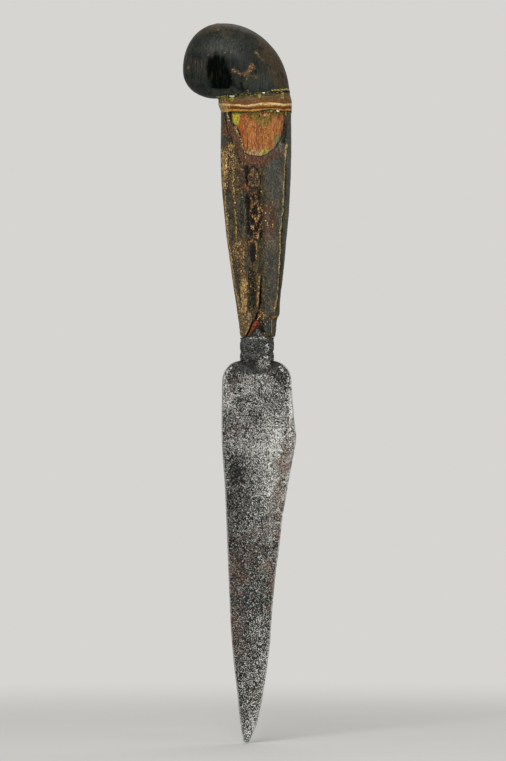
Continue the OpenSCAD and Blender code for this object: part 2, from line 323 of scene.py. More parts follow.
blade_low, blade_high = box_mm("blade")
leaf_low, leaf_high = box_mm("right_horn_leaf")
grip_foot, grip_top = leaf_low[2], leaf_high[2]
neck_h, neck_half, root_h = 9.6, 6.85, 6.4
neck_foot = grip_foot - neck_h
point_z, tang_end = blade_low[2], blade_high[2]
point_x, point_r = -4.1, 1.5
spine_x, spine_t, shoulder_w, shoulder_h = -14.0, 5.0, 7.1, 8.6
shoulder_foot = neck_foot - shoulder_h
spine_at = through([
    (shoulder_foot, spine_x), (-88, spine_x), (-104, -12.9), (-125, -12.0), (-144, -11.2), (-162, -10.4),
    (-176, -9.2), (-188, -7.8), (-198, -6.8), (point_z + point_r, point_x - point_r),
])
edge_at = through([
    (shoulder_foot, 13.8), (-72, 14.4), (-79, 15.0), (-84.4, 15.7), (-91, 14.7), (-100, 13.1), (-110, 11.4),
    (-119.4, 9.8), (-126, 9.2), (-142, 7.2), (-155, 6.0), (-170, 4.9), (-184, 3.0), (-194, 1.2), (-200, -0.3),
    (point_z + point_r, point_x + point_r),
])


def blade_sides(z):
    """The spine and the edge of the knife's iron at a height, as seen from the front."""
    neck = neck_half - 0.35 * hump(z, -50.7, 0.7) - 0.25 * hump(z, -46.1, 0.6)
    shoulder = shoulder_w * (1 - rounded(neck_foot - z, shoulder_h))
    tip = point_r * rounded(z - point_z, point_r) + 0.02
    left = np.where(z > neck_foot, -neck, spine_at(z) + shoulder)
    right = np.where(z > neck_foot, neck, edge_at(z) - shoulder)
    left = np.where(z < point_z + point_r, point_x - tip, left)
    right = np.where(z < point_z + point_r, point_x + tip, right)
    return left, right


def in_gable(x, z):
    """Above 0 inside the gable that the root of the tang ends in, as seen from the front."""
    return 1 - (z - grip_foot) / gable_h - np.abs(x - gable_x) / gable_half


gable_x, gable_half, gable_h, gable_t = 0.3, 3.4, 4.6, 2.2
row_gap, across_n = 0.42, 84
blade_z = np.concatenate([
    point_z + point_r * (1 - np.cos(np.linspace(0.02, math.pi / 2, 7))),
    np.arange(point_z + point_r + row_gap, shoulder_foot - 0.1, row_gap),
    neck_foot - shoulder_h * (1 - np.cos(np.linspace(math.pi / 2, 0.03, 30))),
    np.arange(neck_foot + 0.05, grip_foot - 0.05, 0.3),
    grip_foot + np.linspace(0.05, root_h, 18),
    np.linspace(grip_foot + 9, tang_end, 10),
])
across = np.linspace(0, 1, across_n)
across = 0.45 * across + 0.55 * (0.5 - 0.5 * np.cos(math.pi * across))
left, right = blade_sides(blade_z)
in_grip = blade_z > grip_foot
tang_levels = grip_foot, grip_foot + root_h, tang_end
tang_halves, tang_depths = (4.9, 3.5, 2.2), (3.0, 2.1, 1.5)
tang_half = np.interp(blade_z, tang_levels, tang_halves)
left = np.where(in_grip, -tang_half, left)
right = np.where(in_grip, tang_half, right)
x = left[:, None] + (right - left)[:, None] * across
z = np.repeat(blade_z[:, None], across_n, axis=1)

fall_across, fall_down = 0.0656, 0.00852
edge_t, neck_slope, belly_slope = 0.12, 0.16, 0.36
spine_r, spine_n, edge_r, shoulder_r, beside_neck = 1.1, 2.6, 0.35, 1.6, 6.2
from_edge = right[:, None] - x
cheek = spine_t / 2 - fall_across * (x - spine_x) - fall_down * (neck_foot - z)
ground = edge_t + from_edge * (neck_slope + (belly_slope - neck_slope) * smooth_step(-64, -90, z))
cheek = np.minimum(np.maximum(cheek, 0.2), ground)
cheek = cheek * rounded(x - left[:, None], spine_r, spine_n) * rounded(from_edge, edge_r)
shoulder_round = np.maximum(rounded(neck_foot - z + 0.48, shoulder_r), 0.02 ** 0.5)
cheek = np.where(np.abs(x) > beside_neck, cheek * shoulder_round, cheek)
neck_t, neck_n = 9.6, 4.2
middle = (left + right)[:, None] / 2
neck_full = oval((x - middle) / ((right - left)[:, None] / 2), neck_n)
neck = (neck_t / 2 - 0.35 * hump(z, -50.7, 0.8) + 0.12 * hump(z, -45.2, 0.25)) * neck_full
spur_x, spur_low, spur_high, spur_half, spur_t = 0.8, neck_foot - 4.6, neck_foot + 1.6, 6.0, 3.0
spur = (z - spur_low) / (spur_high - spur_low) - np.abs(x - spur_x) / spur_half
arms = (
    (-6.4, neck_foot - 0.2), (-1.6, neck_foot - 4.0), (spur_x, spur_low), (2.2, neck_foot - 4.2),
    (6.5, neck_foot + 1.0),
)
beside = 0.9 * track(x, z, 1.3, *arms) * smooth_step(0.02, -0.1, spur)
beside = beside + 0.5 * hump(np.abs(x - spur_x), spur_half, 3.4) * hump(z, neck_foot - 3.6, 3.0)
half = cheek + spur_t * np.clip(spur * 1.6, 0, 1) ** 0.8 - 0.55 * beside * (z < neck_foot)
half = np.maximum(half, 0.02)
into_neck = smooth_step(neck_foot - 0.3, neck_foot + 1.0, z)
half = half * (1 - into_neck) + np.maximum(neck, half * 0.2) * into_neck
tang_t = np.interp(blade_z, tang_levels, tang_depths)[:, None]
half = np.where(in_grip[:, None], tang_t * oval(x / tang_half[:, None], neck_n), half)
gable_front = np.where(in_grip[:, None], gable_t * smooth_step(0.0, 0.25, in_gable(x, z)), 0)

front = np.stack([x, -(half + gable_front), z], axis=-1)
back = np.stack([x, half, z], axis=-1)
rings = np.concatenate([front, back[:, -2:0:-1]], axis=1)
thick = np.concatenate([half, half[:, -2:0:-1]], axis=1)
pits = smooth_step(0.12, 0.55, cloud(rings, (0.85, 0.85, 1.0), 3, 3))
deep = smooth_step(0.42, 0.75, cloud(rings, (2.0, 2.0, 2.3), 3, 4))
height = 0.10 * cloud(rings, (7, 7, 10), 3, 1) + 0.07 * cloud(rings, (2.2, 2.2, 2.6), 4, 2)
height = (height - 0.13 * pits - 0.16 * deep) * np.clip(thick / 0.9, 0.12, 1)
rings = raised(rings, height * (rings[..., 2] < grip_foot + 5))
edge_wear = 0.12 * cloud(np.stack([0 * blade_z, 0 * blade_z, blade_z], -1), 3.0, 4, 5)
nicks = 0.35 * hump(blade_z, -115.9, 0.5) + 0.3 * hump(blade_z, -81.6, 0.5)
below = (blade_z < neck_foot - 6) & (blade_z > point_z + 4)
x, z = rings[..., 0], rings[..., 2]
share_of_width = (x - x.min(1, keepdims=True)) / np.maximum(np.ptp(x, axis=1), 1e-6)[:, None]
x += ((edge_wear - nicks) * below)[:, None] * share_of_width ** 4
warped_x = x + 1.2 * cloud(rings, (3, 3, 4), 3, 6)
warped_z = z + 2.0 * cloud(rings, (3, 3, 4), 3, 7)
# A map of brightness over the blade, partly wear of the iron and partly painted light: mostly lighter towards
# the edge, where the light falls, and darker towards the spine, which turns away from it. The spots add lit
# and shaded places.
light_and_wear_along = through([
    (-58, 0.36), (-70, 0.38), (-79, 0.46), (-89, 0.52), (-99, 0.42), (-108, 0.36), (-118, 0.32), (-128, 0.24),
    (-137, 0.2), (-147, 0.17), (-156, 0.22), (-166, 0.26), (-176, 0.34), (-185, 0.3), (-195, 0.33),
    (-200, 0.5), (-207, 0.42),
])
light_and_wear_across = through([
    (-58, -0.1), (-70, 0.1), (-79, 0.32), (-89, 0.42), (-99, 0.62), (-108, 0.6), (-118, 0.45), (-128, 0.3),
    (-147, 0.15), (-166, 0.2), (-185, 0.45), (-207, 0.5),
])
lit_and_worn_places = sum(spots(warped_x, warped_z, 0.7, (
    (0.18, (7.4, -84), (2.6, 6)), (0.16, (5.0, -91), (3.5, 5)), (0.2, (-11.6, -70), (2, 5)),
    (0.5, (13.6, -70), (1.1, 9)), (0.15, (-1.8, -64), (4, 4)), (-0.35, (-8, -98.5), (3.2, 5)),
    (-0.3, (9.6, -61), (2.4, 3)), (-0.25, (-10, -60.5), (2.4, 2.4)), (-0.15, (0, -76), (4, 3)),
    (0.25, (5, -105), (2, 6)), (0.2, (3.6, -137), (1.6, 4)), (0.25, (1.6, -160), (3, 4)),
)))
# Painted highlights: bright patches on the neck, on its upper swell and along both shoulder rims, where they
# would catch the light.
painted_neck_highlight = most(
    spot(warped_x, z, (3.2, -54.8), (2.5, 2.1), 0.35), 0.8 * spot(x, z, (4.0, -49.4), (0.6, 1.6), 0.7),
    0.6 * spot(x, z, (-4.4, -54.4), (0.9, 0.6), 0.5), 0.6 * track(x, z, 0.25, (-2.6, -45.2), (4.0, -45.2)),
    0.8 * track(x, z, 0.45, (-13.4, -63.5), (-12.6, -60), (-10.6, -57.2)),
    0.8 * track(x, z, 0.45, (13.5, -66), (12.2, -60), (9.2, -57)),
)
# Painted shade: the shoulders and the hollows beside the spur's arms are darkened in the colour.
dim = most(
    spot(warped_x, warped_z, (-5.6, -57.4), (5.0, 1.7), 0.5),
    track(x, z, 1.3, (4.2, -58.4), (6.6, -55.6), (8.2, -57.4)),
    track(x, z, 0.7, *arms[:3]) * 0.8, track(x - 0.3, z + 0.3, 0.7, *arms[2:]),
)
rusty = most(*spots(warped_x, warped_z, 0.8, (
    (0.8, (12.6, -79), (2.0, 3)), (1.1, (12.2, -90), (2.6, 4)), (1.2, (11.0, -96.5), (3.3, 5.5)),
    (0.9, (9.4, -106), (2.0, 5)), (0.8, (7.6, -114), (3.0, 7)), (0.7, (8.6, -122), (2.2, 7)),
    (0.85, (6.4, -140), (2.6, 12)), (0.5, (5.0, -158), (1.8, 9)), (0.6, (2.0, -124), (6, 5)),
    (0.7, (-7.8, -139), (4.2, 12)), (0.6, (-2, -134), (4, 9)), (0.8, (-8.4, -162), (2.6, 9)),
    (0.4, (-9.6, -62.8), (1.2, 1.2)), (0.5, (-4.8, -57.0), (1.4, 1.2)), (0.4, (-10, -80), (2.6, 6)),
    (0.4, (-2, -188), (3, 4)),
)))
from_left, from_right = x - x.min(1, keepdims=True), x.max(1, keepdims=True) - x
rim = most(hump(from_left, 0.25, 0.35), hump(from_right, 0.25, 0.4)) * (z < neck_foot + 1)
ground_line = hump(from_right, 3.4, 0.35) * smooth_step(-90, -98, z) * smooth_step(-172, -160, z)
blade = skin("blade_iron", rings, {
    "deep": deep, "light_and_wear": light_and_wear_along(z) + light_and_wear_across(z) * (share_of_width - 0.5) + lit_and_worn_places, "dim": dim,
    "rusty": rusty, "rim": rim, "ground": ground_line, "light": painted_neck_highlight,
})

iron = Finish("pitted_iron")
salt = iron.grain(0.35, 2, 0.5)
salt_wide = iron.grain(0.75, 2, 0.6, seed=1, warp=0.5)
patchy = iron.grain(5, 4, 0.6, (1, 1, 1.4), seed=2)
drift = iron.grain(2.2, 3, 0.6, seed=3)
rust_wide = iron.grain(3.0, 4, 0.7, (1, 1, 1.4), seed=4)
rust_fine = iron.grain(0.9, 3, 0.7, seed=5)
grit = 0.74 * salt + 0.26 * salt_wide
flash = 0.3 * salt + 0.7 * salt_wide
tone = grit + (patchy - 0.5) * 0.10 + (drift - 0.5) * 0.14
tip_contrast = iron.z.step(-172, -188) * 0.35 + 1.0
# The map's painted light and wear shift the grains lighter or darker.
worn = (tone - 0.5) * tip_contrast + 0.5 + (iron["light_and_wear"] - 0.5) * 0.16
peak = worn.step(0.48, 0.52)
rust = iron["rusty"] * 0.5 + (rust_wide - 0.5) * 1.8 + (rust_fine - 0.5) * 1.6
rust = rust.step(0.1, 0.62)
in_neck_highlight = iron["light"].step(0, 0.2)
cheek_colour = iron.painted(
    (42, 43, 40), ((146, 146, 139), peak), ((242, 242, 236), worn.step(0.552, 0.576)),
    ((6, 6, 7), worn.step(0.462, 0.44)),
)
neck_colour = iron.painted(
    (32, 34, 32), ((58, 59, 56), tone.step(0.48, 0.535)), ((134, 134, 129), tone.step(0.56, 0.59)),
    ((12, 13, 13), tone.step(0.445, 0.41)),
)
iron.set(
    Base_Color=iron.painted(
        neck_colour,
        (cheek_colour, iron.z.step(neck_foot - 1, neck_foot - 5)),
        # Painted shade at the shoulders and beside the spur, broken up by the grain.
        ((34, 36, 35), (iron["dim"] * 0.6 + (drift + grit - 1.0) * 1.2).step(0.1, 0.45) * 0.8),
        ((18, 18, 19), iron["deep"] * salt_wide.step(0.56, 0.46) * 0.6),
        ((190, 190, 184), (iron["rim"] * 0.16 + tone).step(0.56, 0.62) * iron["rim"]),
        ((140, 138, 130), iron["ground"] * salt.step(0.40, 0.56) * 0.6),
        # Painted highlight on the neck and shoulder rims: bright grains, with darker grains between them.
        ((208, 208, 202), (iron["light"] * 0.06 + flash).step(0.545, 0.575) * in_neck_highlight),
        ((36, 37, 37), flash.step(0.49, 0.46) * in_neck_highlight * 0.8),
        (iron.painted((132, 104, 86), ((76, 58, 48), tone.step(0.54, 0.46))), rust * 0.7),
    ),
    Roughness=0.62 - peak * 0.12 + rust * 0.15,
    Metallic=0.2,
    Specular_IOR_Level=0.3,
)
iron.relief(grit * 0.8 + peak * 0.2, 0.20)
fit(blade, "blade", iron)

# Lac: the red resin that beds the tang. It fills the foot of the grip and shows in the notch there,
# broken away in front of the gabled root of the tang. A thin sleeve of it runs up round the tang.
leaf_left_low, _ = box_mm("left_horn_leaf")
top_w, top_t = leaf_high[0] - leaf_left_low[0], leaf_high[1] - leaf_low[1]
foot_w, foot_t, horn_t = 14.6, 11.4, 1.3
widening, swelling, squareness, lean, foot_lean = 0.85, 1.15, 2.35, 0.4, 0.6
notch_top = grip_foot + 7.4


def full(value):
    return np.sign(value) * np.abs(value) ** (2 / squareness)


def grip_at(z):
    """Half the width and the depth of the grip at a height, and its middle, which leans at the foot."""
    up = np.clip((z - grip_foot) / ((grip_top - grip_foot) * widening), 0, 1)
    grow = np.sin(up * math.pi / 2) ** swelling
    half_w, half_t = (foot_w + (top_w - foot_w) * grow) / 2, (foot_t + (top_t - foot_t) * grow) / 2
    return half_w, half_t, foot_lean - (foot_lean + lean) * grow


def oval_rings(z, angles, half_w, half_t, middle):
    """Points round an oval; the angle runs from the front, through the edge's side, to the back."""
    across, deep = half_w * full(np.sin(angles)), half_t * full(np.cos(angles))
    return np.stack([middle + across, -deep, z + 0 * angles], axis=-1)


def grip_rings(z, angles, inset=0.0):
    half_w, half_t, middle = grip_at(np.broadcast_to(z, angles.shape))
    return oval_rings(z, angles, half_w - inset, half_t - inset, middle)


def turns(rows, columns):
    return np.repeat(np.linspace(0, 2 * math.pi, columns, endpoint=False)[None, :], rows, axis=0)


notch_left = through([
    (-46, -5.9), (-44.8, -5.2), (-43, -4.2), (-41.2, -3.3), (-39.5, -2.6), (-38.4, -1.8), (-37.6, -0.4),
    (-36, 0),
])
notch_right = through([
    (-46, 5.4), (-44.8, 4.4), (-44, 3.2), (-42.8, 2.6), (-40.4, 2.2), (-39.2, 1.6), (-38.4, 0.9),
    (-37.6, -0.4), (-36, 0),
])
lac_z = np.concatenate([np.linspace(grip_foot, notch_top, 34), np.linspace(notch_top + 0.1, grip_top, 8)])
in_notch = (lac_z <= notch_top)[:, None]
angles = turns(len(lac_z), 150)
rings = grip_rings(lac_z[:, None], angles, horn_t + 0.1)
sleeve_w, sleeve_t = (
    np.interp(lac_z, [notch_top, grip_top], ends)[:, None] for ends in ([4.2, 3.3], [2.8, 2.3]))
sleeve = np.stack([sleeve_w * np.sin(angles), -sleeve_t * np.cos(angles), rings[..., 2]], axis=-1)
rings = np.where(in_notch[..., None], rings, sleeve)
before_gable = (rings[..., 1] < 0) * smooth_step(-0.2, 0.15, in_gable(rings[..., 0], rings[..., 2]))
lumps = 0.30 * cloud(rings, 1.6, 4, 11) + 0.12 * cloud(rings, 0.6, 3, 12)
rings = raised(rings, (lumps - 0.15 - 0.9 * before_gable) * in_notch)
x, z = rings[..., 0], rings[..., 2]
# Painted shade: a strip of the lac beside the leaves' rims round the notch, widest on the left, is darkened
# as the gap's shade.
into_notch = np.minimum(x - notch_left(z) - 0.45, notch_right(z) - x)
lac_piece = skin("lac_bed", rings, {"gap": smooth_step(0.9, 0.3, into_notch)})

resin = Finish("red_lac")
mottle = resin.grain(1.0, 4, 0.65)
sparks = resin.grain(0.6, 3, 0.6, seed=1)
red = (sparks + resin.z.step(-42.5, -38.5) * 0.07).step(0.53, 0.60) * resin.x.step(1.2, -0.4)
resin.set(
    Base_Color=resin.painted(
        (108, 60, 38), ((56, 37, 27), mottle.step(0.46, 0.54)), ((168, 70, 34), red),
        ((92, 75, 54), resin.z.step(-40.2, -42.6) * mottle.step(0.38, 0.54) * 0.85),
        ((44, 31, 23), (resin.x * 0.25 + sparks).step(0.55, 0.75) * 0.85),
        # Painted shade in the gap beside the leaves' rims.
        ((16, 11, 9), resin.broken("gap", sparks, 1.6, 0.4, 0.8) * 0.9),
    ),
    Roughness=0.5 + mottle * 0.3,
    Specular_IOR_Level=0.15,
)
resin.relief(resin.grain(0.5, 4, 0.7, seed=2), 0.2)
fit(lac_piece, "tang_lac", resin)

# Core: the reddish wood of the grip, straight in the grain, bored for the tang and scraped to an oval.
# It shows bare where the horn has broken away under the spacers, stained there by verdigris.
core_z = np.linspace(notch_top + 0.02, grip_top, 190)
rings = grip_rings(core_z[:, None], turns(len(core_z), 240), horn_t + 0.08)
fibre = cloud(rings, (0.45, 0.45, 14), 3, 21)
split_lines = smooth_step(0.50, 0.66, cloud(rings, (0.7, 0.7, 16), 2, 22))
broken_top = smooth_step(grip_top - 4.5, grip_top - 0.5, rings[..., 2])
broken_top = broken_top * smooth_step(0.2, 0.6, cloud(rings, (1.5, 1.5, 2.5), 3, 23))
in_patch = smooth_step(grip_top - 18.5, grip_top - 15, rings[..., 2])
rings = raised(rings, (0.07 * fibre - 0.18 * split_lines) * in_patch - 0.5 * broken_top - 0.12 * in_patch)
x = rings[..., 0] + 0.3 * cloud(rings, (1.0, 1.0, 1.0), 3, 24)
z = rings[..., 2] + 0.35 * cloud(rings, (1.4, 1.4, 1.4), 3, 25)
lip = track(x, z, 1.2, (-2.9, 29.0), (-1.0, 28.3), (1.2, 28.2), (3.2, 28.9), (3.8, 29.3))
lip = np.clip(1.6 * lip, 0, 1) * (rings[..., 1] < 0)
rings = raised(rings, 0.45 * lip * (1 + 0.3 * cloud(rings, 0.8, 2, 26)))
core_piece = skin("core_wood", rings, {"splits": split_lines, "lip": lip})

wood = Finish("core_wood")
grain_long = wood.grain(0.46, 4, 0.65, (1, 1, 11))
grain_fine = wood.grain(0.30, 3, 0.6, (1, 1, 6), seed=1)
broad = wood.grain(3.4, 3, 0.5, (1, 1, 2.6), seed=2)
blots = wood.grain(1.2, 4, 0.65, (1, 1, 1.6), seed=3)
rags = wood.grain(0.6, 3, 0.65, (1, 1, 3.2), seed=5)
pores = wood.grain(0.42, 2, 0.5, (1, 1, 4), seed=7)
speck = wood.grain(0.40, 2, 0.5, (1, 1, 1.6), seed=8)
from_top = grip_top - wood.z
on_front = wood.y.step(0, -2)


def stain(x, low, wide, deep, edge=2.2):
    """A stain that hangs from the top of the core at x, its edge broken up by blots and by the fibres."""
    across = abs(wood.x - x) * (1 / wide)
    ragged = (blots + rags - 1.0) * edge
    return (1.0 - across ** 3 - from_top * (1 / deep) + ragged + low).step(-0.1, 0.15)


olive = stain(-0.8, 0.1, 2.6, 3.0, 2.6).most(stain(2.6, 0.4, 4.0, 4.3, 2.2)) * 0.92
olive_colour = wood.painted(
    (152, 118, 50), ((86, 78, 34), (rags * 0.5 + blots * 0.5).step(0.46, 0.54)),
    ((34, 34, 20), pores.step(0.54, 0.62) * from_top.step(4.2, 2.6)),
)
yellow_colour = wood.painted(
    (196, 182, 62), ((144, 126, 56), rags.step(0.48, 0.60)),
    ((120, 76, 40), (blots + pores * 0.6).step(0.86, 0.96) * from_top.step(0.6, 1.6)),
)
fringe = (rags * 0.9 + blots * 0.6 - from_top * 0.16).step(0.60, 0.68)
fringe_colour = wood.painted((166, 158, 70), ((96, 88, 46), grain_fine.step(0.46, 0.58)))
torn_x, torn_z = wood.x - 3.2, from_top - 0.7
torn = (1.0 - torn_x * torn_x * 0.16 - torn_z * torn_z * 0.9 + (blots - 0.5) * 2.4).step(0, 0.2) * on_front
green_x, green_z = wood.x - 7.9 - (wood.z - 33) * 0.25, wood.z - 33.4
green = 1.0 - green_x * green_x * 0.28 - green_z * green_z * 0.12 + (blots + rags - 1.0) * 2.2
green_colour = wood.painted((124, 124, 78), ((88, 92, 56), rags.step(0.46, 0.58)))
lip_green = wood.painted((170, 152, 70), ((104, 92, 44), (blots * 0.5 + pores * 0.5).step(0.46, 0.54)))
lip_colour = wood.painted(
    (184, 150, 106), ((122, 92, 58), (rags * 0.6 + pores * 0.4).step(0.48, 0.54)),
    (lip_green, (wood.x + (blots - 0.5) * 8).step(0.2, 1.4)),
)
colour = wood.painted(
    (166, 106, 52),
    ((132, 72, 36), (grain_long * 0.6 + broad * 0.4).step(0.45, 0.56)),
    ((172, 118, 74), wood.x.step(-2, 5) * broad.step(0.40, 0.58) * 0.7),
    ((196, 142, 90), grain_fine.step(0.55, 0.64) * 0.85),
    ((96, 48, 28), pores.step(0.57, 0.65) * 0.75),
    ((160, 80, 32), wood.x.step(-3.5, -6.5) * blots.step(0.42, 0.56) * 0.6),
    ((66, 34, 22), wood["splits"] * 0.75),
    (olive_colour, olive),
    (yellow_colour, stain(-9.1, 0.25, 2.2, 6.4, 2.0) * 0.95),
    (fringe_colour, fringe * wood.x.step(-9.5, -7.5) * 0.9),
    (wood.painted((222, 166, 118), ((140, 84, 48), rags.step(0.47, 0.55))), torn * 0.95),
    ((150, 146, 92), stain(11.6, 0.1, 0.9, 5.0, 1.6) * 0.8),
    (green_colour, green.step(0, 0.5) * on_front * 0.85),
    (lip_colour, (wood["lip"] + (blots + rags - 1.0) * 1.0).step(0.45, 0.65)),
)
colour = wood.shaded(colour, 0.70 + speck.step(0.36, 0.62) * 0.48)
# Painted shade: the wood is darkened to near black below the window's foot, under the rim of the leaves.
shade_under_leaf = wood.z.step(27.0, 25.5)
wood.set(Base_Color=wood.painted(colour, ((22, 15, 11), shade_under_leaf)), Roughness=0.72, Specular_IOR_Level=0.15)
wood.relief(grain_long * 0.4 + grain_fine * 0.3 + speck * 0.3 + fringe * 0.2 + olive * 0.2, 0.24)
fit(core_piece, "grip_core", wood)

# Horn leaves: two scraped sheets of horn, bent hot round the core and glued, that meet down the middle.
# The front is broken away under the spacers and at the neck, and has flaked along the seam.
window_foot, window_reach, window_full, notch_peak = 27.6, 12.0, 2.2, -37.6
seam_at = through([
    (-37.8, -0.4), (-36, -0.2), (-35, 0.2), (-33.6, 0.8), (-28, 1.4), (-24, 1.6), (-20, 2.0), (-10, 2.2),
    (10, 2.0), (27.6, 1.8), (60, 1.8),
])
gap_at = through([
    (-60, 0.4), (-36.8, 0.4), (-35, 0.05), (-33.6, 0.12), (-31, 0.36), (-27, 0.2), (-23, 0.03), (60, 0.03),
])
window_left = through([
    (26, 2.6), (27.6, 1.8), (27.7, -1.0), (28.0, -3.2), (29.2, -4.8), (31.4, -5.8), (34.4, -6.7),
    (38.8, -8.5), (40.6, -10.2), (46, -11.0),
])


def leaf_edge(z, side):
    """Where the front edge of a leaf stands, in x, on the beak's side (-1) or the edge's side (1)."""
    up = np.clip((z - window_foot) / (grip_top - window_foot), 0, 1)
    window = window_reach * oval(1 - up, window_full) if side > 0 else window_left(z)
    edge = seam_at(z) + side * gap_at(z)
    edge = np.where(z < notch_peak, notch_right(z) if side > 0 else notch_left(z), edge)
    edge = np.where(up > 0, side * np.maximum(side * window, side * edge), edge)
    height = np.stack([0 * z + side * 9, 0 * z, z], -1)
    return edge + (0.10 + 0.12 * (up > 0)) * cloud(height, 1.6, 4, 31)


def patch(x, z, left, right, low, high, soft):
    """1 inside a box on the front and 0 outside, soft at its edges."""
    across = smooth_step(left - soft, left + soft, x) * smooth_step(right + soft, right - soft, x)
    soft = 2 * soft
    return across * smooth_step(low - soft, low + soft, z) * smooth_step(high + soft, high - soft, z)


def out_of_oval(across, up, n):
    """How far out a place lies, where 1 is the rim of an oval and n says how square it is."""
    return (np.abs(across) ** n + np.abs(up) ** n) ** (1 / n)


